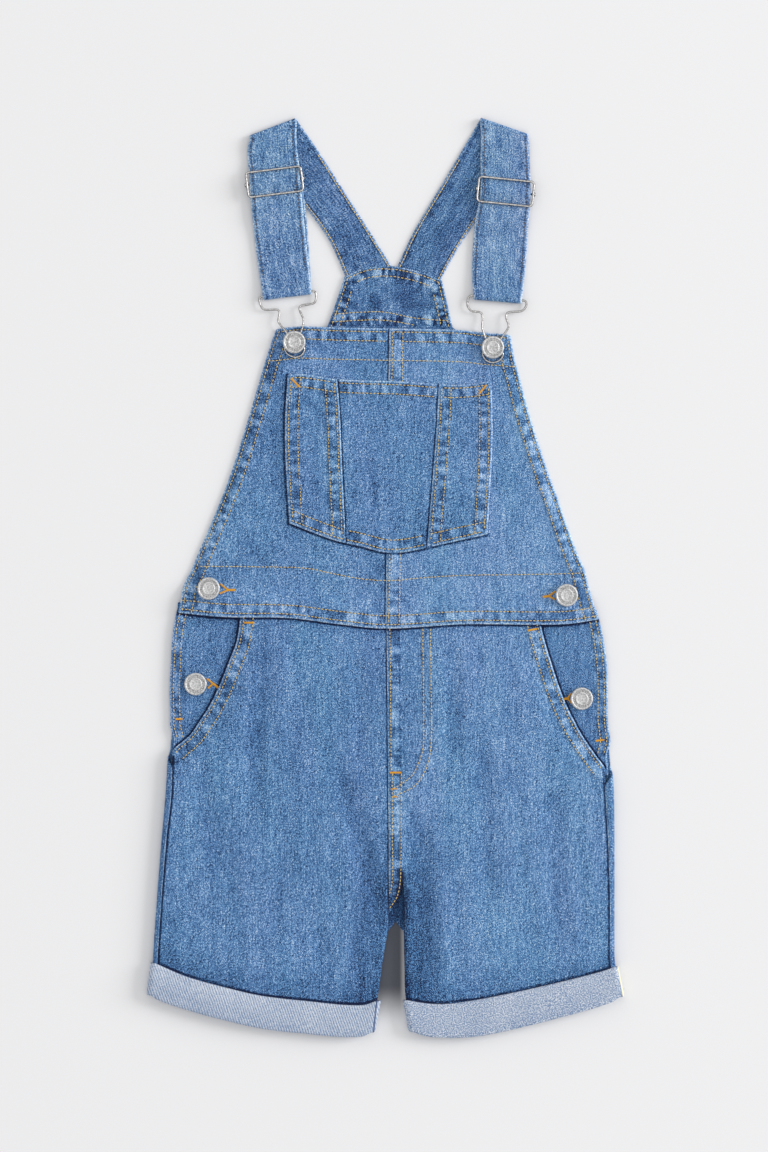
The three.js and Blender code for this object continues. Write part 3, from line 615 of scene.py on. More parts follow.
def troughs(rows, x, y):
    """Depth of soft folds at points, nothing beyond their widths."""
    depth = np.zeros(np.broadcast(x, y).shape)
    for k in range(len(rows["depth"])):
        fold = {name: column[k] for name, column in rows.items()}
        dx, dy = fold["toX"] - fold["fromX"], fold["toY"] - fold["fromY"]
        along = ((x - fold["fromX"]) * dx + (y - fold["fromY"]) * dy) / (dx * dx + dy * dy)
        off = np.hypot(x - fold["fromX"] - along * dx, y - fold["fromY"] - along * dy)
        taper = ease((along + 0.15) / 0.3) * ease((1.15 - along) / 0.3)
        depth = np.maximum(depth, fold["depth"] * ease(1 - off / fold["width"]) * taper)
    return depth


def unevenness(a, b, seed):
    """Smooth random heights from -1 to 1 with bumps about one unit across."""
    count = 64
    heights = np.random.RandomState(seed).uniform(-1, 1, (count, count))
    i, j = np.floor(a).astype(int), np.floor(b).astype(int)
    s, t = ease(a - i), ease(b - j)
    i0, i1, j0, j1 = i % count, (i + 1) % count, j % count, (j + 1) % count
    near, far = mix(heights[i0, j0], heights[i1, j0], s), mix(heights[i0, j1], heights[i1, j1], s)
    return mix(near, far, t)


def run_of(line):
    """How far along a line each of its points lies."""
    return np.concatenate([[0], np.cumsum(np.linalg.norm(np.diff(line, axis=0), axis=1))])


def polyline(points, step=4.0):
    """A smooth line through given points."""
    points = np.array(points, float)
    along = run_of(points)
    rows = {"s": along, **{str(k): points[:, k] for k in range(points.shape[1])}}
    at = np.linspace(0, along[-1], max(int(along[-1] / step) + 1, 3))
    return np.stack([curve(rows, "s", str(k))(at) for k in range(points.shape[1])], -1)


def upright(edge, low, high, step=4.0):
    """The line of an edge that is given as x at a height y."""
    y = np.linspace(low, high, max(int(abs(high - low) / step), 2) + 1)
    return np.stack([edge(y) * np.ones_like(y), y], -1)


def level(edge, low, high, step=4.0):
    """The line of an edge that is given as y at a place x."""
    x = np.linspace(low, high, max(int(abs(high - low) / step), 2) + 1)
    return np.stack([x, edge(x) * np.ones_like(x)], -1)


def offset(line, distance):
    """The line moved to its left by a distance, or to its right by a negative one."""
    tangent = np.gradient(line, axis=0)
    tangent /= np.linalg.norm(tangent, axis=1)[:, None]
    return line + distance * np.stack([-tangent[:, 1], tangent[:, 0]], -1)


def trimmed(line, start, end):
    """The line without a length at each end."""
    along = run_of(line)
    at = np.linspace(start, along[-1] - end, len(line))
    return np.stack([np.interp(at, along, line[:, k]) for k in range(2)], -1)


def nearest(x, y, lines):
    """Distance from points to the nearest of some lines, and how far along it that is.

    Each line starts at a number of its own, so that no two lines have the same puckers."""
    best = np.full(x.shape, 1e3)
    run = np.zeros(x.shape)
    for number, line in enumerate(lines):
        start = 37.0 * number
        for (ax, ay), (bx, by) in zip(line[:-1], line[1:]):
            dx, dy = bx - ax, by - ay
            length = math.hypot(dx, dy) or 1e-9
            t = np.clip(((x - ax) * dx + (y - ay) * dy) / length**2, 0, 1)
            distance = np.hypot(x - ax - t * dx, y - ay - t * dy)
            closer = distance < best
            best = np.where(closer, distance, best)
            run = np.where(closer, start + t * length, run)
            start += length
    return best, run


# Meshes

def mesh_object(name, points, faces, looks):
    """A smooth mesh object from points in millimetres."""
    mesh = bpy.data.meshes.new(name)
    mesh.from_pydata((np.asarray(points) * MM).tolist(), [], faces)
    mesh.shade_smooth()
    mesh.materials.append(looks)
    thing = bpy.data.objects.new(name, mesh)
    bpy.context.scene.collection.objects.link(thing)
    return thing


def say(mesh, name, values):
    """Stores a number or a vector for each vertex."""
    values = np.asarray(values, np.float32)
    kind, field = ("FLOAT_VECTOR", "vector") if values.ndim == 2 else ("FLOAT", "value")
    mesh.attributes.new(name, kind, "POINT").data.foreach_set(field, values.ravel())


def stand_for(thing, node):
    """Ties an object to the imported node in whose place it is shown."""
    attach(thing, "root")
    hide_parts(node)


def strips(a, b):
    """Quads between two lines of point numbers."""
    return [(a[k], a[k + 1], b[k + 1], b[k]) for k in range(len(a) - 1)]


def shell(outer, inner, bulge=0.45):
    """Points and faces of a closed wall: a grid of outer points, one of inner points and a rounded rim.

    The last value gives, for each point, the number of the outer grid point that it belongs to."""
    nu, nv = outer.shape[:2]
    count = nu * nv
    numbers = np.arange(count).reshape(nu, nv)
    border = [numbers[:, 0], numbers[-1, 1:], numbers[-2::-1, -1], numbers[0, -2:0:-1]]
    loop = np.concatenate(border)
    i, j = loop // nv, loop % nv
    inside = np.clip(i, 1, nu - 2) * nv + np.clip(j, 1, nv - 2)
    flat_outer, flat_inner = outer.reshape(-1, 3), inner.reshape(-1, 3)
    middle = (flat_outer + flat_inner) / 2
    away = middle[loop] - middle[inside]
    away /= np.linalg.norm(away, axis=1)[:, None] + 1e-9
    points = np.concatenate([flat_outer, flat_inner, middle[loop] + away * bulge])
    faces = []
    for k in range(nu - 1):
        faces += strips(numbers[k], numbers[k + 1])
        faces += strips(count + numbers[k + 1], count + numbers[k])
    ring = np.append(np.arange(len(loop)), 0)
    rim = 2 * count + ring
    faces += strips(loop[ring], rim)
    faces += strips(rim, count + loop[ring])
    return points, outwards(points, faces), np.concatenate([np.arange(count)] * 2 + [loop])


def outwards(points, faces):
    """The faces, turned over if they point inwards."""
    corners = np.array(faces)
    a, b, c, d = (points[corners[:, k]] for k in range(4))
    volume = np.einsum("ij,ij->", a, np.cross(b, c)) + np.einsum("ij,ij->", a, np.cross(c, d))
    if volume < 0:
        corners = corners[:, ::-1]
    return corners.tolist()


class Seams:
    """What is sewn on a piece: hemmed edges, edges without a hem, dark seams with lines of painted shadow
    beside overlapping edges, and rows of stitches.
    """

    def __init__(self, hems=(), folds=(), rows=(), grooves=(), hem_width=11.0):
        self.hems, self.folds, self.rows, self.grooves = list(hems), list(folds), list(rows), list(grooves)
        self.hem_width = hem_width

    def read(self, x, y, seed):
        """How far points are from the hems, folds, dark seams and painted shadow lines, and rows, and the
        height of the puckers there.
        """
        hem, along_hem = nearest(x, y, self.hems)
        fold, _ = nearest(x, y, self.folds)
        groove, _ = nearest(x, y, self.grooves)
        row, along = nearest(x, y, self.rows)
        step = size("pucker_length") / 2
        banded = np.tanh(2.6 * unevenness(along_hem / step, hem / 8 + 5, seed))
        band = ease((hem - 0.5) / 1.3) * ease((self.hem_width + 0.4 - hem) / 2.2)
        pulled = unevenness(along / step, row / 3 + 9, seed + 1)
        beside = 0.6 * ease((6.5 - row) / 5) * (1 - band) * ease((hem - 0.8) / 1.5)
        crest = banded * band + pulled * beside
        raised = ease((self.hem_width - hem) / 1.6)
        return {"hem": hem, "fold": np.minimum(fold, hem), "groove": groove, "row": row,
                "crest": crest, "raised": raised}


KEPT = ("hem", "fold", "groove", "row", "crest")


def cloth_piece(name, node, outer, inner, seams, looks, tone=0.0, seed=0, rise=0.45, pull=1.0,
                dark=None, patch=None):
    """One cut piece of cloth with its hems raised, its puckers and what its finish needs to know.

    Its hems stand up by the rise, and its puckers grow by the pull. The tone is how pale the cloth is, and
    dark gives how much darker the cloth is painted at a place, mostly as painted shade. A patch is a further
    wall of the piece."""
    points, faces, stored = [], [], {key: [] for key in ("cloth", "tone", *KEPT)}
    for wall_outer, wall_inner in [(outer, inner)] + ([patch] if patch else []):
        x, y = wall_outer[..., 0], wall_outer[..., 1]
        seen = seams.read(x, y, seed)
        seen["crest"] = seen["crest"] * pull
        lift = seen["raised"] * rise + seen["crest"] * size("pucker_height")
        normal = wall_outer - wall_inner
        normal /= np.linalg.norm(normal, axis=2)[..., None] + 1e-9
        wall_points, wall_faces, source = shell(wall_outer + normal * lift[..., None], wall_inner)
        start = sum(len(group) for group in points)
        points.append(wall_points)
        faces += [[start + i for i in face] for face in wall_faces]
        stored["cloth"].append(np.stack([x.ravel(), y.ravel(), np.full(x.size, 13.0 * seed)], -1)[source])
        # The stored tone is the piece's tone less its painted shade
        shade = tone - (dark(x, y) if dark else 0) + 0 * x
        stored["tone"].append(shade.ravel()[source])
        for key in KEPT:
            stored[key].append(seen[key].ravel()[source])
    thing = mesh_object(name, np.concatenate(points), faces, looks)
    for key, values in stored.items():
        say(thing.data, key, np.concatenate(values))
    stand_for(thing, node)
    return thing


# Shaders

class Value:
    """A node's output that can be used in sums."""

    def __init__(self, maker, socket):
        self.maker, self.socket = maker, socket

    def sum(self, operation, first, second):
        return self.maker.add("ShaderNodeMath", {"operation": operation}, {0: first, 1: second})

    def __add__(self, other):
        return self.sum("ADD", self, other)

    def __radd__(self, other):
        return self.sum("ADD", other, self)

    def __sub__(self, other):
        return self.sum("SUBTRACT", self, other)

    def __rsub__(self, other):
        return self.sum("SUBTRACT", other, self)

    def __mul__(self, other):
        return self.sum("MULTIPLY", self, other)

    def __rmul__(self, other):
        return self.sum("MULTIPLY", other, self)

    def __abs__(self):
        return self.maker.add("ShaderNodeMath", {"operation": "ABSOLUTE"}, {0: self})


class Finish:
    """A material that is made node by node."""

    def __init__(self, name):
        self.material = bpy.data.materials.new(name)
        self.material.use_nodes = True
        self.tree = self.material.node_tree
        self.shader = self.tree.nodes["Principled BSDF"]

    def add(self, kind, settings=(), sockets=(), output=None):
        """Adds a node: its settings are set first, then the values or links of its sockets."""
        node = self.tree.nodes.new(kind)
        for key, value in dict(settings).items():
            if key == "stops":
                self.stops(node.color_ramp, value)
            else:
                setattr(node, key, value)
        for key, value in dict(sockets).items():
            self.link(self.find(node.inputs, key), value)
        return Value(self, self.find(node.outputs, output or 0))

    @staticmethod
    def find(sockets, key):
        used = [s for s in sockets if s.enabled]
        return used[key] if isinstance(key, int) else next(s for s in used if s.name == key)

    @staticmethod
    def stops(ramp, stops):
        while len(ramp.elements) < len(stops):
            ramp.elements.new(1.0)
        for element, (place, colour) in zip(ramp.elements, stops):
            element.position = place
            element.color = (*colour, 1.0)

    def link(self, socket, value):
        if isinstance(value, Value):
            self.tree.links.new(value.socket, socket)
        else:
            socket.default_value = value

    def stored(self, name, output="Fac"):
        """What was stored for each vertex under a name."""
        return self.add("ShaderNodeAttribute", {"attribute_name": name}, output=output)

    def scaled(self, place, *factors):
        """A place, stretched along its three axes."""
        return self.add("ShaderNodeVectorMath", {"operation": "MULTIPLY"}, {0: place, 1: factors}, "Vector")

    def noise(self, place, scale, detail=2.0, rough=0.5):
        """Soft random values about one half."""
        sockets = {"Vector": place, "Scale": scale, "Detail": detail, "Roughness": rough}
        return self.add("ShaderNodeTexNoise", {"noise_dimensions": "3D"}, sockets, "Fac")

    def fade(self, value, start, end):
        """One at the start value, nothing at the end value."""
        sockets = {"Value": value, "From Min": start, "From Max": end, "To Min": 1.0, "To Max": 0.0}
        return self.add("ShaderNodeMapRange", {"interpolation_type": "SMOOTHSTEP"}, sockets, "Result")

    def blend(self, factor, first, second):
        """Two colours mixed by a factor."""
        sockets = {"Factor": factor, "A": first, "B": second}
        return self.add("ShaderNodeMix", {"data_type": "RGBA"}, sockets, "Result")

    def wave(self, value):
        """The sine of a value."""
        return self.add("ShaderNodeMath", {"operation": "SINE"}, {0: value})

    def split(self, place):
        """The three numbers of a place."""
        node = self.add("ShaderNodeSeparateXYZ", {}, {"Vector": place}).socket.node
        return [Value(self, node.outputs[k]) for k in range(3)]

    def bump(self, height, strength, distance):
        """A normal that follows a height given in millimetres."""
        sockets = {"Height": height, "Strength": strength, "Distance": distance * MM}
        return self.add("ShaderNodeBump", {}, sockets, "Normal")

    def set(self, **sockets):
        """Sets the shader's own sockets, named with underscores for spaces."""
        for key, value in sockets.items():
            self.link(self.shader.inputs[key.replace("_", " ")], value)
        return self.material


def srgb(red, green, blue):
    """A colour given as it shows on a screen, from 0 to 255, as light."""
    share = np.array([red, green, blue]) / 255
    light = np.where(share <= 0.04045, share / 12.92, ((share + 0.055) / 1.055) ** 2.4)
    return tuple(float(c) for c in light)


def shades(*colours):
    """Several colours given as they show on a screen, as light."""
    return [srgb(*colour) for colour in colours]


def opaque(colour):
    return (*colour[:3], 1.0)


# Shades of the cloth from the dark of a seam and of painted shade to a worn edge, and where the tone of the
# cloth meets them
SHADE_PLACES = (0.0, 0.36, 0.52, 0.72, 0.98)
DENIM_COLOURS = shades((14, 28, 62), (69, 112, 163), (94, 137, 184), (134, 170, 210), (203, 217, 231))
DEEP_COLOURS = shades((12, 24, 58), (60, 100, 150), (80, 122, 169), (126, 160, 198), (196, 212, 228))
STRAP_COLOURS = shades((18, 32, 64), (70, 112, 165), (102, 139, 181), (146, 173, 205), (206, 217, 229))

# The pale inside: a rib, the ground between ribs, the dark of a seam, and the raw edge
INSIDE_COLOURS = shades((222, 227, 234), (112, 134, 168), (44, 62, 104), (232, 224, 190))


def denim(name, colours, rows=(FIRST_ROW, SECOND_ROW), slubs=1.0):
    """Washed denim: speckled twill with slubs, worn along folds and dark in the seams, with painted shade
    along stitch rows and beside overlapping edges.
    """
    finish = Finish(name)
    cloth = finish.stored("cloth", "Vector")
    x, y, _ = finish.split(cloth)
    speck = finish.noise(cloth, 1.55, 0.0) - 0.5
    across = finish.add("ShaderNodeCombineXYZ", {}, {"X": (x + y) * 1.35, "Y": (y - x) * 0.6, "Z": 3.0})
    weave = finish.noise(across, 1.0, 0.0) - 0.5
    slub = finish.noise(finish.scaled(cloth, 0.95, 0.075, 1.0), 1.0, 1.0) - 0.5
    streak = finish.noise(finish.scaled(cloth, 0.16, 0.012, 1.0), 1.0, 1.0) - 0.5
    broad = finish.noise(cloth, 0.022, 2.0) - 0.5
    twill_pitch = 1.65
    twill = finish.wave((x + y * 0.8) * (2 * math.pi / twill_pitch))
    hem, fold = finish.stored("hem"), finish.stored("fold")
    crest, row = finish.stored("crest"), finish.stored("row")
    worn = finish.fade(fold, 0.1, 0.95) * (0.35 + finish.noise(cloth, 0.14, 1.0) * 1.1)
    # Painted shade along the sunk needle lines of the rows, which also sink in the bump
    sunk = finish.fade(row, 0.2, 1.0)
    for place in rows:
        sunk = sunk + finish.fade(abs(hem - place), 0.2, 0.9)
    # Dark seams, and painted shadow lines beside overlapping edges
    deep = finish.fade(finish.stored("groove"), 0.45, 1.6)
    tone = 0.454 + speck * 1.1 + weave * 0.9 + (slub * 0.5 + streak * 0.2) * slubs
    tone = tone + broad * 0.2 + twill * 0.055
    # The stored tone holds painted shade; pucker crests are painted paler, partly as wear and partly as
    # painted highlight
    tone = tone + finish.stored("tone") + crest * 0.21 + worn * 0.3 - sunk * 0.14 - deep * 0.52
    stops = list(zip(SHADE_PLACES, colours))
    plain = finish.add("ShaderNodeValToRGB", {"stops": stops}, {"Fac": tone}, "Color")
    hue = finish.noise(finish.scaled(cloth, 0.035, 0.009, 1.0), 1.0, 1.0) * 2.2 - 0.6
    tint = finish.blend(hue, (0.93, 1.012, 0.99, 1.0), (1.04, 0.985, 1.01, 1.0))
    colour = finish.add("ShaderNodeMix", {"data_type": "RGBA", "blend_type": "MULTIPLY"},
                        {"Factor": 1.0, "A": plain, "B": tint}, "Result")
    height = twill * 0.06 + slub * 0.25 + speck * 0.4 + weave * 0.3 - sunk * 0.3 - deep * 0.5
    normal = finish.bump(height, 0.6, 0.6)
    return finish.set(Base_Color=colour, Roughness=0.86 + speck * 0.12, Normal=normal,
                      Specular_IOR_Level=0.2, Sheen_Weight=0.05, Sheen_Roughness=0.5)


def inside_face(name, light, deep, seam, raw):
    """The pale inside of the denim, with the steep ribs of its weave, and a raw edge."""
    finish = Finish(name)
    cloth = finish.stored("cloth", "Vector")
    x, y, _ = finish.split(cloth)
    sway = finish.noise(cloth, 0.12, 1.0) * 1.1
    broken = finish.noise(cloth, 0.4, 1.0)
    rib_pitch = 1.95
    ribs = finish.wave((x + y * 0.35 + sway) * (2 * math.pi / rib_pitch)) * (broken * 1.4 + 0.1)
    speck = finish.noise(cloth, 1.2, 1.0) - 0.5
    broad = finish.noise(cloth, 0.04, 1.0) - 0.5
    ribbed = finish.stored("ribs")
    factor = 0.5 + ribs * 0.3 * ribbed + speck * (3.9 - ribbed * 2.6) + broad * 0.3 + finish.stored("tone")
    face = finish.blend(factor, opaque(deep), opaque(light))
    dark = finish.fade(finish.stored("groove"), 0.25, 1.1)
    sewn = finish.blend(dark * 0.9, face, opaque(seam))
    colour = finish.blend(finish.fade(finish.stored("fold"), 0.5, 1.1) * 0.9, sewn, opaque(raw))
    normal = finish.bump(ribs * ribbed * 0.25 + speck * 0.35, 0.6, 0.5)
    return finish.set(Base_Color=colour, Roughness=0.88 + speck * 0.1, Normal=normal,
                      Specular_IOR_Level=0.2, Sheen_Weight=0.12)


def thread(name, colour, deep):
    """Sewing thread with its twist."""
    finish = Finish(name)
    place = finish.add("ShaderNodeNewGeometry", {}, {}, "Position")
    x, y, _ = finish.split(place)
    twist = finish.wave((x + y) * (2 * math.pi / (0.5 * MM)))
    patch = finish.noise(place, 1 / (9 * MM), 2.0)
    shade = finish.blend(patch + twist * 0.18, opaque(deep), opaque(colour))
    return finish.set(Base_Color=shade, Roughness=0.62 + twist * 0.08, Specular_IOR_Level=0.35,
                      Normal=finish.bump(twist, 0.4, 0.06))


def nickel(name, light, deep, metallic=0.6, rough=0.4):
    """Plated metal, slightly dulled and finely scratched, with painted shade that darkens it in its recesses
    and down its sides.
    """
    finish = Finish(name)
    place = finish.add("ShaderNodeNewGeometry", {}, {}, "Position")
    patina = finish.noise(place, 1 / (1.1 * MM), 2.0, 0.6)
    scratch = finish.noise(finish.scaled(place, 1 / (0.25 * MM), 1 / (3 * MM), 1 / MM), 1.0, 2.0)
    share = (patina - 0.5) * 1.8 + 0.72 - finish.stored("recess")
    colour = finish.blend(share, opaque(deep), opaque(light))
    return finish.set(Base_Color=colour, Metallic=metallic + patina * 0.1, Roughness=rough + scratch * rough,
                      Normal=finish.bump(scratch + patina, 0.3, 0.08))


# The scene's own settings, as a user would change them

def colour_setting(name, description, default):
    return bpy.props.FloatVectorProperty(
        name=name, description=description, subtype="COLOR", size=3, min=0, max=1, default=default
    )


def length_setting(name, description, default, least, most):
    """A length that is kept in metres and given here in millimetres."""
    return bpy.props.FloatProperty(
        name=name, description=description, default=default * MM, min=least * MM, max=most * MM,
        precision=5, unit="LENGTH"
    )


class DUNGAREE_PG_sizes(bpy.types.PropertyGroup):
    """Sizes of the sewing and of the cloth's relief."""

    stitch_pitch: length_setting("Stitch pitch", "From one stitch to the next", 2.7, 1.5, 6)
    thread_width: length_setting("Thread width", "Width of a stitch", 0.7, 0.2, 1.5)
    pucker_length: length_setting("Pucker length", "From one pucker to the next along a row", 5, 2, 15)
    pucker_height: length_setting("Pucker height", "Height of the puckers beside a row", 0.26, 0, 1)
    grid_step: length_setting("Grid step", "Size of the meshes' faces", 2, 1, 6)


class DUNGAREE_PG_colours(bpy.types.PropertyGroup):
    """Colours of the cloth, thread and metal."""

    gold: colour_setting("Gold thread", "Main colour of the topstitching", srgb(238, 214, 152))
    navy: colour_setting("Dark thread", "Colour of the dark topstitching", srgb(112, 104, 104))
    bright: colour_setting("Bartack thread", "Colour of the bartacks and buttonholes", srgb(232, 172, 52))
    metal: colour_setting("Metal", "Colour of the buttons, hooks and sliders", srgb(226, 226, 226))
    floor: colour_setting("Floor", "Colour of the studio floor", (0.80, 0.80, 0.81))


class DUNGAREE_PG_light(bpy.types.PropertyGroup):
    """Light and camera of the studio."""

    sky: bpy.props.FloatProperty(
        name="Sky", description="Strength of the light from all round", default=0.81, min=0
    )
    lamp: bpy.props.FloatProperty(
        name="Lamp", description="Power of the large lamp at the upper right", default=900, min=0,
        unit="POWER"
    )
    view_height: bpy.props.FloatProperty(
        name="Camera height", description="Height of the camera over the floor", default=4.0, min=1,
        unit="LENGTH"
    )


def size(name):
    """One of the user's sizes, in millimetres."""
    return round(getattr(bpy.context.scene.dungaree_sizes, name) / MM, 4)


FINISHES = {}


def finish_of(name):
    """The material of a name, made once."""
    if name not in FINISHES:
        colours = bpy.context.scene.dungaree_colours
        maker, *details = {
            "denim": (denim, "denim", DENIM_COLOURS),
            "denim_strap": (denim, "denim_strap", STRAP_COLOURS, (2.3,), 1.35),
            "denim_side": (denim, "denim_side", DENIM_COLOURS, ()),
            "denim_yoke": (denim, "denim_yoke", DEEP_COLOURS, ()),
            "denim_back": (denim, "denim_back", DEEP_COLOURS),
            "inside": (inside_face, "inside", *INSIDE_COLOURS),
            "gold": (thread, "gold_thread", colours.gold, srgb(188, 162, 102)),
            "navy": (thread, "dark_thread", colours.navy, srgb(62, 66, 88)),
            "bright": (thread, "bright_thread", colours.bright, srgb(196, 132, 30)),
            "nickel": (nickel, "nickel", colours.metal, srgb(96, 96, 98)),
            # The wire's dark colour shows where its painted side shade falls
            "wire": (nickel, "nickel_wire", srgb(240, 238, 236), srgb(58, 54, 58), 0.75, 0.22),
        }[name]
        FINISHES[name] = maker(*details)
    return FINISHES[name]


# Shape of the shorts

def always(value):
    """An edge or a height that is the same everywhere."""
    return lambda *place: value + 0 * place[0]


SPANS = {  # from where to where, in x, lines that go across each half run
    "left": {"cuff": (-176, -4), "fold": (-156, 0.6), "panel": (-158, -100), "top": (-80, 2.8),
             "facing": (-88, 3), "waist": (-139, 1)},
    "right": {"cuff": (14, 177), "fold": (0.8, 160), "panel": (105, 164), "top": (3.4, 93),
              "facing": (3.2, 98), "waist": (1.2, 147)},
}


class Side:
    """Edges and seams of one side of the shorts, as x at a height y or y at a place x."""

    def __init__(self, side):
        self.side = side
        self.span = SPANS[side]
        self.outward = -1 if side == "left" else 1
        self.edge = curve(SHORTS, "y", side)
        self.inset = curve(SHORTS, "y", side + "Seam")
        self.mouth = curve(MOUTHS, "y", side)
        self.inseam = curve(INSEAMS, "y", side)
        self.cuff_top = curve(CUFF_TOPS[side], "x", "y")
        self.cuff_foot = curve(CUFF_FEET[side], "x", "y")
        self.centre = straight(1.2, -35, CROTCH_X, CROTCH_Y)
        self.back_centre = straight(1.2, -35, CROTCH_BACK_X, CROTCH_BACK_Y)
        self.half = GAP / 2 * self.outward
        ends = [mix(*CUFF_ENDS[side][end], CUFF_RETURN) for end in ("outer", "inner")]
        self.low, self.high = min(ends) + CUFF_ROUND, max(ends) - CUFF_ROUND

    def hem(self, x):
        at = np.clip(x, self.low, self.high)
        return mix(self.cuff_foot(at), self.cuff_top(at), CUFF_RETURN) + 2 * GAP

    def lift(self, x, y):
        """How far the leg has risen on the layer of cuff that lies under it."""
        return LAYER * ease((self.cuff_top(x) + 16 - y) / 14)

    def seam(self, y):
        return self.edge(y) - self.outward * self.inset(y)

    def front(self, y):
        return np.where(y > MOUTH_END[self.side], self.mouth(y), self.seam(y))

    def inner(self, y):
        top = self.centre(CROTCH_Y) + self.half
        below = mix(top, self.inseam(y), np.clip((CROTCH_Y - y) / 10, 0, 1))
        return np.where(y > CROTCH_Y, self.centre(y) + self.half, below)

    def back_inner(self, y):
        top = self.back_centre(CROTCH_BACK_Y) + self.half
        below = mix(top, self.inseam(y) + self.outward, ease((CROTCH_BACK_Y - y) / 12))
        return np.where(y > CROTCH_BACK_Y, self.back_centre(y) + self.half, below)


bib_fold = curve(BIB_FOLD, "x", "y")
bib_top = curve(BIB_TOP, "x", "y")
bib_centre = straight(0.4, -38, 3.3, 187)
yoke_top = curve(YOKE_TOP, "x", "y")


def shorts_top(x):
    return bib_fold(x) + BIB_LAP


def wall_grids(place, sections, rows):
    """Outer and inner points of a wall whose place is worked out from a section, a row and a depth."""
    u = {name: column[:, None] for name, column in sections.items()}
    return place(u, rows[None, :], 0.0), place(u, rows[None, :], CLOTH)


def front_leg(side, step):
    """A front leg lies over the back one, and turns down at the inner side below the crotch."""
    lines = Side(side)
    flat = stations(LEG_WIDTH, step, (0, FINE_EDGE), (150, LEG_WIDTH))
    turn = np.linspace(0, 1, 9)[1:]
    drop = np.linspace(0, 1, 4)[1:]
    sections = {
        "flat": np.concatenate([flat, np.ones(11)]),
        "turn": np.concatenate([np.zeros(len(flat)), turn, np.ones(3)]),
        "drop": np.concatenate([np.zeros(len(flat) + 8), drop]),
    }
    rows = stations(LEG_LENGTH, step, (0, FINE_EDGE))

    def turned(y):
        return ease((CROTCH_Y + 8 - y) / 18)

    def angle_at(y):
        return mix(0.2, np.pi / 2, turned(y))

    def under(x, y):
        inside = np.abs(x - lines.front(y)) / 24
        mouth_fade = ease(inside + ease((MOUTH_END[side] + 8 - y) / 18))
        open_share = ease((bib_fold(x) - 2 - y) / 42) * mouth_fade
        fade = ease((y - lines.hem(x) - 24) / 30) * ease(np.abs(x - lines.front(y)) / 16)
        full = mix(2 * LAYER, LEG_HEIGHT - CLOTH, open_share)
        waves = 0.22 * unevenness(x / 9 + 3, y / 70, 5) + 0.16 * unevenness(x / 4.5, y / 34, 6)
        small = troughs(CREASES, x, y) - waves
        return full - (troughs(FOLDS, x, y) + small) * fade * ease(open_share * 1.6)

    def place(u, v, depth):
        def start(y):
            edge = lines.inner(y)
            r = LEG_ROUND - lines.lift(edge, y) / 2
            return edge + lines.outward * (r * np.sin(angle_at(y)) + 0.5 * np.cos(angle_at(y)))

        x, y = within(u["flat"], v, lines.front, start, shorts_top, lines.hem)
        top = under(x, y) + CLOTH
        low = lines.lift(x, y)
        r = LEG_ROUND - low / 2
        angle = angle_at(y) * u["turn"]
        reach = mix(0.5, np.maximum(top - r - low - LAYER, 0.3), turned(y)) * u["drop"]
        out = (r - depth) * np.sin(angle) + reach * np.cos(angle)
        down = r - (r - depth) * np.cos(angle) + reach * np.sin(angle)
        bent = stack(x - lines.outward * out, y, top - down)
        return np.where((u["turn"] > 0)[..., None], bent, stack(x, y, top - depth))

    return wall_grids(place, sections, rows)


def back_leg(side, step):
    """A back leg lies on the surface and turns up round the side as far as the side seam."""
    lines = Side(side)
    flat = stations(LEG_WIDTH, step * 2)
    turn = np.linspace(0, 1, 13)[1:]
    over = np.linspace(0, 1, 3)[1:]
    sections = {
        "flat": np.concatenate([flat, np.ones(14)]),
        "turn": np.concatenate([np.zeros(len(flat)), turn, np.ones(2)]),
        "over": np.concatenate([np.zeros(len(flat) + 12), over]),
    }
    rows = stations(LEG_LENGTH, step * 1.5)

    def place(u, v, depth):
        def flat_end(y):
            return lines.edge(y) - lines.outward * LEG_ROUND

        x, y = within(u["flat"], v, lines.back_inner, flat_end, bib_fold, lines.hem)
        low = lines.lift(x, y)
        r = LEG_ROUND - low / 2
        share = ease((MOUTH_END[side] - y) / 14)
        angle = mix(0.26, np.pi, share) * u["turn"]
        centre = lines.edge(y) - lines.outward * r
        to_seam = np.maximum(np.abs(lines.edge(y) - lines.seam(y)) - r - GAP, 0.3)
        over = mix(0.6, to_seam, share**3) * u["over"]
        out = (r - depth) * np.sin(angle) + over * np.cos(angle)
        up = r - (r - depth) * np.cos(angle) + over * np.sin(angle)
        bent_x = centre + lines.outward * out
        bent = stack(bent_x, mix(bib_fold(bent_x), lines.hem(bent_x), v), low + up)
        return np.where((u["turn"] > 0)[..., None], bent, stack(x, y, low + depth))

    return wall_grids(place, sections, rows)


def flat_piece(left, right, top, foot, height, step, width, length, finer=8):
    """Outer and inner points of a layer between four edges."""
    across = stations(width, step, (0, finer), (width - finer, width))
    along = stations(length, step, (0, finer), (length - finer, length))
    x, y = within(across[:, None], along[None, :], left, right, top, foot)
    low = height(x, y)
    return stack(x, y, low + CLOTH), stack(x, y, low)


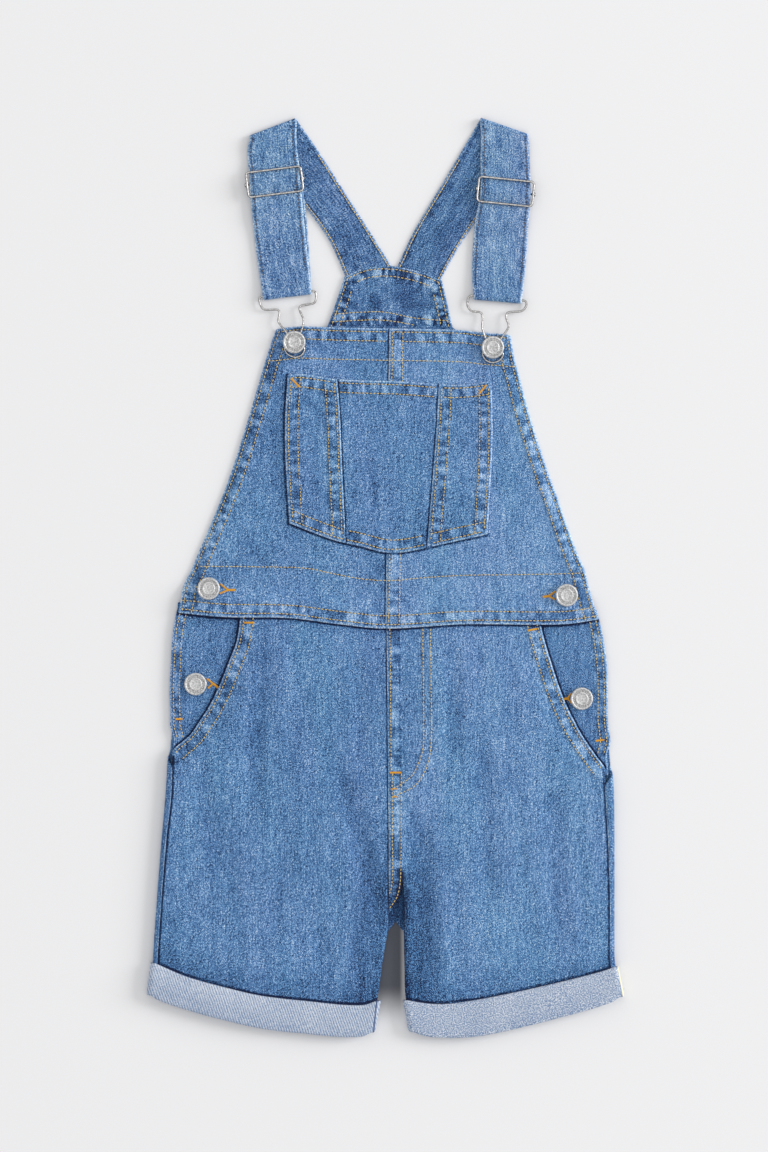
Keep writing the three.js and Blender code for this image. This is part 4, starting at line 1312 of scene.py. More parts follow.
def leg_seams(side):
    """Sewing of a front leg: the pocket mouth, and on the right the centre seam, the fly and the crotch."""
    lines = Side(side)
    mouth = upright(lines.mouth, -26, MOUTH_END[side])
    rows = [offset(mouth, -lines.outward * FIRST_ROW), offset(mouth, -lines.outward * SECOND_ROW)]
    seam = upright(lambda y: lines.seam(y) - lines.outward * 0.4, MOUTH_END[side] - 4, -300)
    cuff = level(lambda x: lines.cuff_top(x) + 0.8, *lines.span["cuff"])
    # A painted shadow line under the bib's fold; the side seam and the cuff's top are dark lines
    under_bib = level(lambda x: bib_fold(x) - 0.9, *lines.span["fold"])
    grooves = [seam, cuff, under_bib]
    hems = [mouth]
    if side == "left":
        # On the left, a painted shadow line beside the lapped edge at the centre, and a dark line along the
        # inseam
        grooves += [upright(lines.centre, -36, CROTCH_Y), upright(lines.inseam, -224, -244)]
    else:
        hems.append(upright(lines.centre, -36, -238))
        rows.append(upright(lambda y: lines.centre(y) + 2.4, -38, -145))
        rows += [polyline(row) for row in FLY_ROWS + CROTCH_ROWS]
    return Seams(hems=hems, rows=rows, grooves=grooves, hem_width=SECOND_ROW + 1.5)


def crotch_strip(step):
    """The felled seam of the crotch, which goes down between the legs."""
    right = curve(CROTCH_STRIP, "y", "right")
    top, foot = max(CROTCH_STRIP["y"]), min(CROTCH_STRIP["y"])

    def height(x, y):
        return 4.5 + 0.72 * ease((-182 - y) / 16) - 3.4 * ease((-216 - y) / 32)

    return flat_piece(always(3.15), right, always(top), always(foot), height, step * 0.6, 12, 76, 0)


STITCHING = []  # each row of stitches: its line, its thread, the pieces that it may lie on, and its ways


def sew(line, colour, *pieces, **how):
    STITCHING.append((np.asarray(line), colour, pieces, how))


class DUNGAREE_OT_legs(bpy.types.Operator):
    """Make the fronts and backs of both legs"""

    bl_idname = "dungaree.legs"
    bl_label = "Legs"

    def execute(self, context):
        step = size("grid_step")
        for seed, side in enumerate(SIDES):
            seams = leg_seams(side)
            outer, inner = front_leg(side, step)
            patch = crotch_strip(step) if side == "right" else None
            front = cloth_piece(f"front_leg_{side}_cloth", f"front_leg_{side}", outer, inner, seams,
                                finish_of("denim"), tone=(-0.03, 0.02)[seed], seed=3 + seed,
                                dark=self.shade(side), patch=patch)
            outer, inner = back_leg(side, step)
            seam = upright(Side(side).seam, MOUTH_END[side] - 4, -300)
            back = cloth_piece(f"back_leg_{side}_cloth", f"back_leg_{side}", inner, outer,
                               Seams(folds=[seam]), finish_of("denim_back"),
                               tone=-0.02, seed=7 + seed, dark=self.crotch_shade)
            for row in seams.rows:
                sew(row, "gold", front.name, back.name)
        return {"FINISHED"}

    @staticmethod
    def crotch_shade(x, y):
        """The back is painted darker where it shows between the legs, round the foot of its centre seam, as
        painted shade.
        """
        return 0.3 * ease((24 - np.hypot(x - 8, (y + 240) * 0.7)) / 14)

    @staticmethod
    def shade(side):
        """Painted shade darkens the cloth in the folds, above the cuff, at the inner edge and under the bib.
        """
        lines = Side(side)
        on_left, on_right = side == "left", side == "right"

        def read(x, y):
            inside = np.abs(x - lines.inner(y))
            turning = ease((9 - inside) / 9) * ease((CROTCH_Y - y) / 14) * (0.4 + 0.6 * on_right)
            inner = ease((34 - inside) / 26) * ease((CROTCH_Y + 26 - y) / 50)
            above_cuff = ease((26 + lines.cuff_top(x) - y) / 26)
            below_bib = ease((bib_fold(x) - 1 - y) / -9 + 1)
            fly = ease((26 - np.abs(x - 14)) / 20) * ease((y + 170) / 30)
            outer = ease((24 - np.abs(x - lines.edge(y))) / 24) * ease((-150 - y) / 30) * on_left
            down = np.clip((-221 - y) / 29, 0, 1)
            from_left, to_right = x - mix(10.5, 5, down), mix(14.5, 15.5, down) - x
            gap = ease(from_left / 2) * ease(to_right / 2.5) * ease((-216 - y) / 8)
            shaded = ease((40 - np.abs(x - 20)) / 30) * ease((-225 - y) / 25) * on_right
            dark = 0.2 * turning + 0.14 * inner + 0.13 * above_cuff + 0.07 * below_bib
            dark = dark + 0.08 * fly + 0.05 * outer + 0.06 * shaded + 0.42 * gap
            return dark + 0.06 * troughs(FOLDS, x, y) + 0.1 * troughs(CREASES, x, y)

        return read


class DUNGAREE_OT_side_panels(bpy.types.Operator):
    """Make the panels behind the pocket mouths"""

    bl_idname = "dungaree.side_panels"
    bl_label = "Side panels"

    def execute(self, context):
        for seed, side in enumerate(SIDES):
            lines = Side(side)
            end = MOUTH_END[side] - 6

            def outer_edge(y):
                return lines.edge(y) - lines.outward * 4 * ease((MOUTH_END[side] + 20 - y) / 12)

            def inner_edge(y):
                lap = np.minimum(np.abs(lines.mouth(y)) - MOUTH_LAP, np.abs(outer_edge(y)) - 8)
                return lap * lines.outward

            outer, inner = flat_piece(outer_edge, inner_edge, shorts_top, always(end), always(LAYER),
                                      size("grid_step") * 0.8, 60, 100)
            hem = upright(outer_edge, -26, end + 4)
            rows = [offset(hem, -lines.outward * FIRST_ROW), offset(hem, -lines.outward * 6.8)]
            # Painted shadow lines under the pocket mouth's edge and under the bib's fold
            mouth = upright(lambda y: lines.mouth(y) + lines.outward * 0.9, -26, MOUTH_END[side])
            under_bib = level(lambda x: bib_fold(x) - 1.1, *lines.span["panel"])

            # Painted shade under the pocket mouth's edge and under the bib's fold
            def shade(x, y):
                near = np.abs(x) - np.abs(lines.mouth(y))
                return 0.1 * ease((7 - near) / 6) + 0.1 * ease((8 - (bib_fold(x) - y)) / 7)

            panel = cloth_piece(f"side_panel_{side}_cloth", f"side_panel_{side}", outer, inner,
                                Seams(hems=[hem], rows=rows, grooves=[mouth, under_bib], hem_width=8),
                                finish_of("denim_side"), tone=-0.08, seed=11 + seed, dark=shade)
            for row in rows:
                sew(trimmed(row, 0, 12), "gold", panel.name)
        return {"FINISHED"}


CUFF_PROFILE = table(
    "depth height",
    (0, 1),
    (0, 0.5),
    (0, 0.1),
    (0.4, 0.02),
    (1.35, 0),
    (2.3, 0.02),
    (2.7, 0.1),
    (2.7, CUFF_RETURN),
    (1.5, CUFF_RETURN),
    (1.5, 0.1),
    (1.35, 0.07),
    (1.2, 0.1),
    (1.2, 0.5),
    (1.2, 1),
)


class DUNGAREE_OT_cuffs(bpy.types.Operator):
    """Make the turned-up cuffs"""

    bl_idname = "dungaree.cuffs"
    bl_label = "Cuffs"

    def execute(self, context):
        for seed, side in enumerate(SIDES):
            self.cuff(side, seed)
        return {"FINISHED"}

    @staticmethod
    def profile():
        """The section of a cuff, with points close together where it turns."""
        depth, height = [], []
        corners = list(zip(CUFF_PROFILE["depth"], CUFF_PROFILE["height"]))
        for (d0, h0), (d1, h1) in zip(corners, corners[1:] + corners[:1]):
            steps = max(1, round(abs(h1 - h0) * 13)) if abs(h1 - h0) > 0.1 else 2
            for t in np.arange(steps) / steps:
                depth.append(mix(d0, d1, t))
                height.append(mix(h0, h1, t))
        return np.array(depth), np.array(height)

    def cuff(self, side, seed):
        lines = Side(side)
        ends = CUFF_ENDS[side]
        depth, height = self.profile()
        close, wide = np.linspace(0, 0.06, 22), np.linspace(0.07, 0.93, 76)
        flats = np.concatenate([close, wide, 1 - close[::-1]])
        bends, still = np.linspace(0, 1, 12)[1:-1], np.zeros(len(flats))
        u = np.concatenate([flats, np.ones(10), flats[::-1], np.zeros(10)])[:, None]
        turned = np.concatenate([still, bends, still + 1, 1 + bends])[:, None] * np.pi
        outer, inner = mix(*ends["outer"], height), mix(*ends["inner"], height)
        facing = np.sign(inner - outer)
        x0 = mix(outer + facing * CUFF_ROUND, inner - facing * CUFF_ROUND, u)
        x = x0 + facing * (CUFF_ROUND - depth) * np.sin(turned)
        z = CUFF_ROUND + (CUFF_ROUND - depth) * np.cos(turned)
        y = mix(lines.cuff_foot(x0), lines.cuff_top(x0), height)
        swell = 0.28 * unevenness(x0 / 16, height * 2.2, 31 + seed) + 0.35 * np.sin(np.pi * height) ** 2
        z = z + swell * np.clip(np.cos(turned), 0, 1)
        nu, nv = x.shape
        points = stack(x, y, z).reshape(-1, 3)
        numbers = np.arange(nu * nv).reshape(nu, nv)
        faces = []
        for k in range(nu):
            a, b = numbers[k], numbers[(k + 1) % nu]
            faces += strips(np.append(a, a[0]), np.append(b, b[0]))
        thing = mesh_object(f"cuff_{side}_cloth", points, outwards(points, faces), finish_of("inside"))
        say(thing.data, "cloth", stack(x, y, 17.0 * seed + z * 0.7).reshape(-1, 3))
        raw_edge = 18 + 0 * x
        if side == "right":
            raw_edge = np.abs(x - mix(ends["outer"][0] - 0.6, ends["outer"][1] - 0.2, height))
        say(thing.data, "fold", (raw_edge + 6 * (z < 2.2)).ravel())
        seam = np.abs(x - mix(*CUFF_SEAMS[side], height)) + 5 * (z < 4)
        top_edge = np.abs(1 - height) * 25 + 0.5 + 0 * x
        say(thing.data, "groove", np.minimum(seam, top_edge).ravel())
        say(thing.data, "ribs", np.full(x.size, (1.0, 0.25)[seed]))
        say(thing.data, "tone", ((-0.13, -0.2)[seed] + 0.12 * (height - 0.5) + 0 * x).ravel())
        stand_for(thing, f"cuff_{side}")


class DUNGAREE_OT_bib(bpy.types.Operator):
    """Make the two halves of the bib"""

    bl_idname = "dungaree.bib"
    bl_label = "Bib"

    def execute(self, context):
        for seed, side in enumerate(SIDES):
            self.half(side, seed, size("grid_step") * 0.8)
        return {"FINISHED"}

    def half(self, side, seed, step):
        outward, span = Side(side).outward, SPANS[side]
        edge = curve(BIB_SIDES, "y", side)
        back = curve(BACK_BIB, "y", side)

        def resting(y):
            return np.minimum(np.abs(back(y)) + 3, np.abs(edge(y)) - 5) * outward

        def centre(y):
            return bib_centre(y) + GAP / 2 * outward

        lap = np.linspace(0, 1, 8)
        across = stations(BIB_WIDTH, step, (0, 10))[1:]
        share = np.concatenate([lap, np.ones(len(across))])[:, None]
        inside = np.concatenate([np.zeros(8), across])[:, None]
        rows = stations(BIB_HEIGHT, step, (0, FINE_EDGE), (BIB_HEIGHT - FINE_EDGE, BIB_HEIGHT))[None, :]

        def column(y):
            return mix(mix(edge(y), resting(y), share), centre(y), inside)

        y = mix(bib_fold(0.0), bib_top(0.0), rows)
        for _ in range(7):
            x = column(y)
            y = mix(bib_fold(x), bib_top(x), rows)
        laid = np.where(inside > 0, LAYER, LAYER * share**2)
        lapped = 2 * LAYER + LAYER * ease(inside * 6)
        low = mix(laid, lapped, ease((bib_fold(x) + 24 - y) / 14))
        soft = 0.25 * unevenness(x / 34 + 5, y / 30, 41 + seed) * ease(inside * 8)
        outer, inner = stack(x, y, low + CLOTH + soft * 0.5), stack(x, y, low)
        side_line, centre_line = upright(edge, 186, -30), upright(centre, 186, -36)
        top_line, fold_line = level(bib_top, *span["top"]), level(bib_fold, *span["fold"])
        # Painted shadow lines: on the left half beside the right half's lapped edge, and beside the pocket's
        # left edge and foot
        grooves = [centre_line] if side == "left" else []
        grooves.append(offset(upright(curve(POCKET_EDGES, "y", "left"), 41, 152), 0.9))
        grooves.append(offset(level(curve(POCKET_FOOT, "x", "y"), -73, 78), -0.9))
        rows_sewn = [
            offset(side_line, -outward * FIRST_ROW), offset(side_line, -outward * SECOND_ROW),
            trimmed(offset(top_line, -FIRST_ROW), 2, 2), trimmed(offset(top_line, -SECOND_ROW), 9, 2),
            offset(fold_line, FIRST_ROW + 0.4), offset(fold_line, SECOND_ROW),
            level(lambda at: bib_top(at) - FACING_DEPTH, *span["facing"]),
            level(curve(WAIST_FACING, "x", "y"), *span["waist"]),
        ]
        hems = [side_line, top_line, fold_line]
        if side == "right":
            centre_rows = [offset(centre_line, FIRST_ROW), offset(centre_line, SECOND_ROW + 0.8)]
            rows_sewn += [trimmed(row, 2, 2) for row in centre_rows]
            hems.append(centre_line)
        seams = Seams(hems=hems, rows=rows_sewn, grooves=grooves, hem_width=SECOND_ROW + 1.6)
        half = cloth_piece(f"bib_{side}_cloth", f"bib_{side}", outer, inner, seams,
                           finish_of("denim"), tone=(0.0, 0.045)[seed], seed=17 + seed,
                           dark=self.shade)
        for row in rows_sewn:
            sew(row, "gold", half.name)

    @staticmethod
    def shade(x, y):
        """Painted shade darkens the cloth in the creases, beside the pocket's left edge and under the straps.
        """
        beside = ease((-66 - x) / 20) * ease((y - 40) / 20)
        above = ease((y - 140) / 20)
        return 0.1 * troughs(BIB_CREASES, x, y) + 0.06 * beside + 0.04 * above


POCKET_PIECES = {  # the edges of each part, about how wide it is, and its flat size in metres
    "left": ("left", "leftSeam", 40, (0.042, 0.122)),
    "centre": ("leftSeam", "rightSeam", 70, (0.071, 0.127)),
    "right": ("rightSeam", "right", 42, (0.044, 0.121)),
}


class DUNGAREE_OT_bib_pocket(bpy.types.Operator):
    """Make the three parts of the bib's pocket"""

    bl_idname = "dungaree.bib_pocket"
    bl_label = "Bib pocket"

    def execute(self, context):
        for name, (start, end, width, flat) in POCKET_PIECES.items():
            left, right = curve(POCKET_EDGES, "y", start), curve(POCKET_EDGES, "y", end)
            self.part(name, left, right, width, flat)
        return {"FINISHED"}

    def part(self, name, left, right, width, flat):
        top, foot = curve(POCKET_TOP, "x", "y"), curve(POCKET_FOOT, "x", "y")

        def low_left(y):
            return left(y) + GAP / 2

        def low_right(y):
            return right(y) - GAP / 2

        outer, inner = flat_piece(low_left, low_right, foot, top, always(2 * LAYER),
                                  size("grid_step") * 0.8, width, 118, 12)
        outer[..., 2] += 0.22 * unevenness(outer[..., 0] / 17, outer[..., 1] / 22, 51)
        x0, x1 = float(left(90)), float(right(90))
        top_line, foot_line = level(top, x0 - 1, x1 + 1), level(foot, x0 - 1, x1 + 1)
        left_line, right_line = upright(low_left, 150, 20), upright(low_right, 150, 20)
        hems, grooves = [top_line, foot_line], []
        rows = [offset(top_line, -FIRST_ROW), offset(top_line, -SECOND_ROW),
                offset(foot_line, FIRST_ROW), offset(foot_line, SECOND_ROW)]
        if name != "centre":
            hems += [left_line, right_line]
            rows += [offset(left_line, FIRST_ROW), offset(left_line, SECOND_ROW),
                     offset(right_line, -FIRST_ROW), offset(right_line, -SECOND_ROW)]
        else:
            # The middle part has painted shadow lines beside the side parts' edges
            grooves += [left_line, right_line]
        rows = [self.kept(row, left, right, foot, top) for row in rows]
        part = cloth_piece(f"bib_pocket_{name}_cloth", f"bib_pocket_{name}", outer, inner,
                           Seams(hems, rows=rows, grooves=grooves, hem_width=SECOND_ROW + 1.6),
                           finish_of("denim"), tone=-0.035, seed=23, dark=self.shade)
        for row in rows:
            sew(row, "gold", part.name)

    @staticmethod
    def shade(x, y):
        """The painted shade of the bib's creases goes on in its pocket."""
        return 0.1 * troughs(BIB_CREASES, x, y)

    @staticmethod
    def kept(row, left, right, foot, top, margin=1.6):
        """The part of a row that lies on the pocket part, clear of its edges."""
        x, y = row[:, 0], row[:, 1]
        between = (x > left(y) + margin * 0.4) & (x < right(y) - margin * 0.4)
        on = between & (y > foot(x) + margin) & (y < top(x) - margin)
        return row[on] if on.sum() > 1 else row[:2]


class DUNGAREE_OT_back(bpy.types.Operator):
    """Make the back of the bib and its yoke"""

    bl_idname = "dungaree.back"
    bl_label = "Back"

    def execute(self, context):
        step = size("grid_step")
        left, right = curve(BACK_BIB, "y", "left"), curve(BACK_BIB, "y", "right")
        outer, inner = flat_piece(left, right, always(YOKE_FOOT - GAP), lambda x: bib_fold(x) + GAP,
                                  always(0), step * 2, 260, 215)
        sides = [upright(edge, 186, -25) for edge in (left, right)]
        back = cloth_piece("back_bib_cloth", "back_bib", outer, inner, Seams(hems=sides, rows=[]),
                           finish_of("denim_back"), tone=-0.04, seed=29, rise=0.0)
        left, right = curve(YOKE_SIDES, "y", "left"), curve(YOKE_SIDES, "y", "right")
        outer, inner = flat_piece(left, right, yoke_top, always(YOKE_FOOT), always(0),
                                  step * 0.7, 84, 44, 10)
        top_line = level(yoke_top, -30, 41.6)
        left_line, right_line = upright(left, 225, 188), upright(right, 222, 188)
        foot_line = level(always(YOKE_FOOT), -42, 50)
        rows = [
            offset(top_line, -1.8), trimmed(offset(top_line, -7.2), 6, 6),
            offset(left_line, FIRST_ROW), trimmed(offset(left_line, 7.8), 8, 0),
            offset(right_line, -FIRST_ROW), trimmed(offset(right_line, -7.8), 8, 0),
            *(polyline(row) for row in YOKE_ROWS),
        ]
        yoke = cloth_piece("back_yoke_cloth", "back_yoke", outer, inner,
                           Seams([top_line, left_line, right_line, foot_line], rows=rows, hem_width=9),
                           finish_of("denim_yoke"), tone=-0.07, seed=31, rise=0.5, pull=1.7,
                           dark=self.yoke_shade)
        for row in rows:
            sew(row, "gold", yoke.name)
        return {"FINISHED"}

    @staticmethod
    def yoke_shade(x, y):
        """The yoke is darker at its foot, and unevenly worn."""
        return 0.1 * ease((200 - y) / 10) + 0.13 * np.tanh(2 * unevenness(x / 8, y / 6, 33))


def turned_rows(row, middle, around, beyond, start, end, steps, outwards_sign):
    """Rows of a strap as it goes round a straight line, from below the line at angle 0."""
    left, right = np.array(row[:2]), np.array(row[2:])
    along = (right - left) / np.linalg.norm(right - left)
    out = np.array([-along[1], along[0]]) * outwards_sign
    made = []
    for angle in np.linspace(start, end, steps):
        shift = around * math.sin(angle) - beyond
        height = middle - around * math.cos(angle)
        normal = (*(out * math.sin(angle)), -math.cos(angle))
        made.append((*(left + out * shift), *(right + out * shift), height, *normal))
    return made


def lying(rows, up):
    """Rows of a strap that lies flat, with its outer side up or down."""
    return [(*row, 0, 0, up) for row in rows]


TURN_ROWS = 9  # of a strap where it folds over at the shoulder, and as many in its loop


def strap_rows(side):
    """Both edges, height and outward direction of a strap, from the yoke to its end at the slider."""
    join = STRAP_JOINS[side]
    first = (join[0], yoke_top(join[0]) + GAP, join[1], yoke_top(join[1]) + GAP, FLAT, 0, 0, -1)
    shoulder, fold = FLAT + SHOULDER_ROUND, SHOULDER_ROUND + CLOTH / 2
    loop = BAR_ROUND + CLOTH / 2
    return np.array([
        first,
        *lying(STRAP_BACKS[side], -1),
        *turned_rows(STRAP_SHOULDERS[side], shoulder, SHOULDER_ROUND, fold, 0, np.pi, TURN_ROWS, 1),
        *lying(STRAP_FRONTS[side], 1),
        *turned_rows(STRAP_LOOPS[side], HOOK_BAR, BAR_ROUND, loop, np.pi, 0, TURN_ROWS, -1),
        *lying(STRAP_UNDERS[side], -1),
        *turned_rows(STRAP_BARS[side], SLIDER_BAR, BAR_ROUND, 0, 0, 1.45, 6, 1),
    ], float)


class DUNGAREE_OT_straps(bpy.types.Operator):
    """Make the two straps, folded at the shoulder and looped through hook and slider"""

    bl_idname = "dungaree.straps"
    bl_label = "Straps"

    def execute(self, context):
        for seed, side in enumerate(SIDES):
            self.strap(side, seed, size("grid_step") * 0.8)
        return {"FINISHED"}

    def strap(self, side, seed, step):
        rows = strap_rows(side)
        along = run_of(stack((rows[:, 0] + rows[:, 2]) / 2, (rows[:, 1] + rows[:, 3]) / 2, rows[:, 4]))
        at = [0.0]
        for a, b in zip(along[:-1], along[1:]):
            count = max(2, math.ceil((b - a) / step))
            at += list(a + (b - a) * np.arange(1, count + 1) / count)
        at = np.array(at)
        columns = {"s": along, **{str(k): rows[:, k] for k in range(8)}}
        left_x, left_y, right_x, right_y, z = (curve(columns, "s", str(k))(at)[None, :] for k in range(5))
        normal = np.stack([np.interp(at, along, rows[:, k]) for k in (5, 6, 7)], -1)
        normal /= np.linalg.norm(normal, axis=1)[:, None] + 1e-9
        u = np.linspace(0, 1, 25)[:, None]
        centre = stack(mix(left_x, right_x, u), mix(left_y, right_y, u), z)
        width = np.hypot(right_x - left_x, right_y - left_y)
        lie = stack(u * width, at[None, :] + 0 * u, 0.0)
        outer, inner = centre + normal[None] * CLOTH / 2, centre - normal[None] * CLOTH / 2
        hem = np.minimum(u, 1 - u) * width
        seen = strap_seams(hem, at[None, :] + 0 * u, seed)
        crest = seen["crest"] * ease((hem - 0.3) / 1.5)
        seen["crest"] = crest * 0.6
        raised = normal[None] * (crest * 0.12)[..., None]
        outer, inner = outer + raised, inner - raised
        points, faces, source = shell(outer, inner, 0.5)
        thing = mesh_object(f"strap_{side}_cloth", points, faces, finish_of("denim_strap"))
        place = stack(lie[..., 0], lie[..., 1], 5.0 * seed + 70).reshape(-1, 3)
        say(thing.data, "cloth", place[source])
        for key in KEPT:
            say(thing.data, key, (seen[key] + 0 * u).ravel()[source])
        face_up = normal[:, 2][None, :] + 0 * u
        tone = np.where(face_up < 0, -0.13, 0.01)
        say(thing.data, "tone", tone.ravel()[source])
        stand_for(thing, f"strap_{side}")
        folded = len(STRAP_BACKS[side])
        opened = folded + TURN_ROWS
        looped = opened + len(STRAP_FRONTS[side])
        back_end, front_start, front_end = (np.searchsorted(at, along[k]) for k in (folded, opened, looped))
        stretches = (
            (0, back_end, 1.4, "gold", {"above": 1.4, "reach": (0.02, 0.94)}),
            (front_start, front_end, 2.3, "navy", {}),
        )
        for end in (0, 1):
            for first, last, inset, colour, how in stretches:
                share = np.abs(end - inset / width[0])
                line = stack(mix(left_x[0], right_x[0], share), mix(left_y[0], right_y[0], share), 0.0)
                sew(line[first:last, :2], colour, thing.name, **how)


def strap_seams(hem, run, seed):
    """How far the cloth of a strap is from its seams, and how it puckers along its edges."""
    row = np.abs(hem - FIRST_ROW)
    step = size("pucker_length") / 2
    edge = np.tanh(1.6 * unevenness(run / step, hem / 4 + 7, 61 + seed)) * ease((5.5 - row) / 3.5)
    middle = unevenness(run / 9, hem / 6 + 3, 71 + seed) * 0.55
    away = 99 + 0 * hem
    return {"hem": hem, "fold": hem, "groove": away, "row": away, "crest": edge + middle}


# Metal

def tube(points, radius, sides=12):
    """A closed wire through points in a ring, as points and faces."""
    points = np.asarray(points)
    tangent = np.roll(points, -1, 0) - np.roll(points, 1, 0)
    tangent /= np.linalg.norm(tangent, axis=1)[:, None]
    side_way = np.cross(tangent, [0, 0, 1.0])
    side_way /= np.linalg.norm(side_way, axis=1)[:, None]
    up = np.cross(side_way, tangent)
    angle = (np.arange(sides) * 2 * np.pi / sides)[None, :, None]
    ring = radius * (np.cos(angle) * side_way[:, None] + np.sin(angle) * up[:, None])
    made = (points[:, None] + ring).reshape(-1, 3)
    count = len(points)
    faces = []
    for k in range(count):
        a = np.append(np.arange(sides), 0) + k * sides
        b = np.append(np.arange(sides), 0) + (k + 1) % count * sides
        faces += strips(a, b)
    return made, outwards(made, faces)


def ring_curve(points, count):
    """A smooth closed line through points."""
    points = np.asarray(points, float)
    n = len(points)
    t = np.arange(count) * n / count
    k = np.floor(t).astype(int)
    s = (t - k)[:, None]
    p0, p1, p2, p3 = (points[(k + d) % n] for d in (-1, 0, 1, 2))
    m1, m2 = (p2 - p0) * 0.42, (p3 - p1) * 0.42
    start = (2 * s**3 - 3 * s**2 + 1) * p1 + (s**3 - 2 * s**2 + s) * m1
    return start + (3 * s**2 - 2 * s**3) * p2 + (s**3 - s**2) * m2


def lathe(profile, sides=64):
    """Points and faces of a body turned about Z from a profile of radius and height, from axis to axis."""
    angle = np.arange(sides) * 2 * np.pi / sides
    rings = [(r, z) for r, z in profile if r > 1e-6]
    points = [(r * math.cos(a), r * math.sin(a), z) for r, z in rings for a in angle]
    foot, head = len(points), len(points) + 1
    points += [(0, 0, profile[0][1]), (0, 0, profile[-1][1])]
    faces = []
    around = np.append(np.arange(sides), 0)
    for k in range(len(rings) - 1):
        faces += strips(around + k * sides, around + (k + 1) * sides)
    last = (len(rings) - 1) * sides
    for k in range(sides):
        faces.append((foot, around[k + 1], around[k]))
        faces.append((head, last + around[k], last + around[k + 1]))
    return np.array(points, float), [tuple(int(i) for i in face) for face in faces]


def lying_lathe(profile, sides, middle):
    """Points and faces of a turned body laid along X, with its middle at a place."""
    points, faces = lathe(profile, sides)
    return points[:, [2, 1, 0]] * [1, 1, -1] + middle, faces


def spun(points, angle):
    """Points turned about Z."""
    c, s = math.cos(angle), math.sin(angle)
    return points @ np.array([[c, -s, 0], [s, c, 0], [0, 0, 1]]).T


def joined(parts):
    """Several bodies, each as points and faces, as one."""
    points, faces, start = [], [], 0
    for body_points, body_faces in parts:
        points.append(body_points)
        faces += [tuple(int(i) + start for i in face) for face in body_faces]
        start += len(body_points)
    return np.concatenate(points), faces


def tops(names):
    """Where pieces are met from above."""
    points, faces, start = [], [], 0
    for name in names:
        mesh = bpy.data.objects[name].data
        co = np.zeros(len(mesh.vertices) * 3, np.float32)
        mesh.vertices.foreach_get("co", co)
        points += co.reshape(-1, 3).tolist()
        faces += [[start + i for i in face.vertices] for face in mesh.polygons]
        start += len(mesh.vertices)
    tree = BVHTree.FromPolygons(points, faces)

    def height(x, y, above=30.0):
        hit = tree.ray_cast(Vector((x * MM, y * MM, above * MM)), Vector((0, 0, -1)))
        return (None, None) if hit[0] is None else (hit[0].z / MM, hit[1])

    return height


def cad_height(node):
    """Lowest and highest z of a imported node, in millimetres."""
    low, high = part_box(node)
    return low.z / MM, high.z / MM


class DUNGAREE_OT_buttons(bpy.types.Operator):
    """Make the six metal buttons"""

    bl_idname = "dungaree.buttons"
    bl_label = "Buttons"

    def execute(self, context):
        r, d, neck = BUTTON_WIDTH / 2, BUTTON_DEPTH, BUTTON_NECK / 2
        for name, (x, y) in BUTTONS.items():
            foot, head = cad_height(name)
            base = head - d
            profile = [
                (0, foot), (neck - 0.3, foot), (neck, foot + 0.1), (neck, base),
                (r - 1.0, base), (r - 0.5, base + 0.05), (r - 0.15, base + 0.3 * d), (r, base + 0.45 * d),
                (r - 0.04, base + 0.62 * d), (r - 0.25, base + 0.82 * d), (r - 0.6, base + 0.95 * d),
                (r - 1.0, base + d), (r - 1.35, base + 0.97 * d), (r - 1.6, base + 0.86 * d),
                (r - 1.85, base + 0.8 * d), (r - 3.0, base + 0.79 * d), (r / 2 + 0.75, base + 0.8 * d),
                (r / 2 + 0.5, base + 0.9 * d), (r / 2 + 0.2, base + 0.97 * d), (r / 2 - 0.2, base + 0.97 * d),
                (r / 2 - 0.5, base + 0.88 * d), (r / 2 - 0.8, base + 0.83 * d), (1.6, base + 0.85 * d),
                (0, base + 0.86 * d),
            ]
            parts = [lathe(profile)]
            dot = [(0, -0.2), (0.42, -0.2), (0.4, 0.05), (0.24, 0.2), (0, 0.24)]
            for k in range(26):
                angle = k * 2 * math.pi / 26
                reach = mix(r / 2 + 0.5, r - 1.6, 0.52)
                points, faces = lathe(dot, 8)
                points = spun(points * ([1.5, 0.9, 1] if k % 3 else [0.8, 1.5, 1]), angle)
                place = [reach * math.cos(angle), reach * math.sin(angle), base + 0.8 * d]
                parts.append((points + place, faces))
            points, faces = joined(parts)
            thing = mesh_object(name + "_metal", points + [x, y, 0], faces, finish_of("nickel"))
            # Painted shade in the hollow of the ring and round the rim
            reach = np.hypot(points[:, 0], points[:, 1])
            ring = ease((reach - r / 2 - 0.2) / 0.6) * ease((r - 1.3 - reach) / 0.6)
            hollow = ease((base + 0.88 * d - points[:, 2]) / 0.2)
            say(thing.data, "recess", 0.26 * ring * hollow + 0.25 * ease((reach - r + 0.5) / 0.5))
            stand_for(thing, name)
        return {"FINISHED"}


def side_shade(mesh):
    """Painted shade of a wire at its points: bright on top, dark down its sides."""
    up = np.array([vertex.normal.z for vertex in mesh.vertices])
    return mix(1.05, 0.0, ease((np.abs(up) - 0.5) / 0.45))


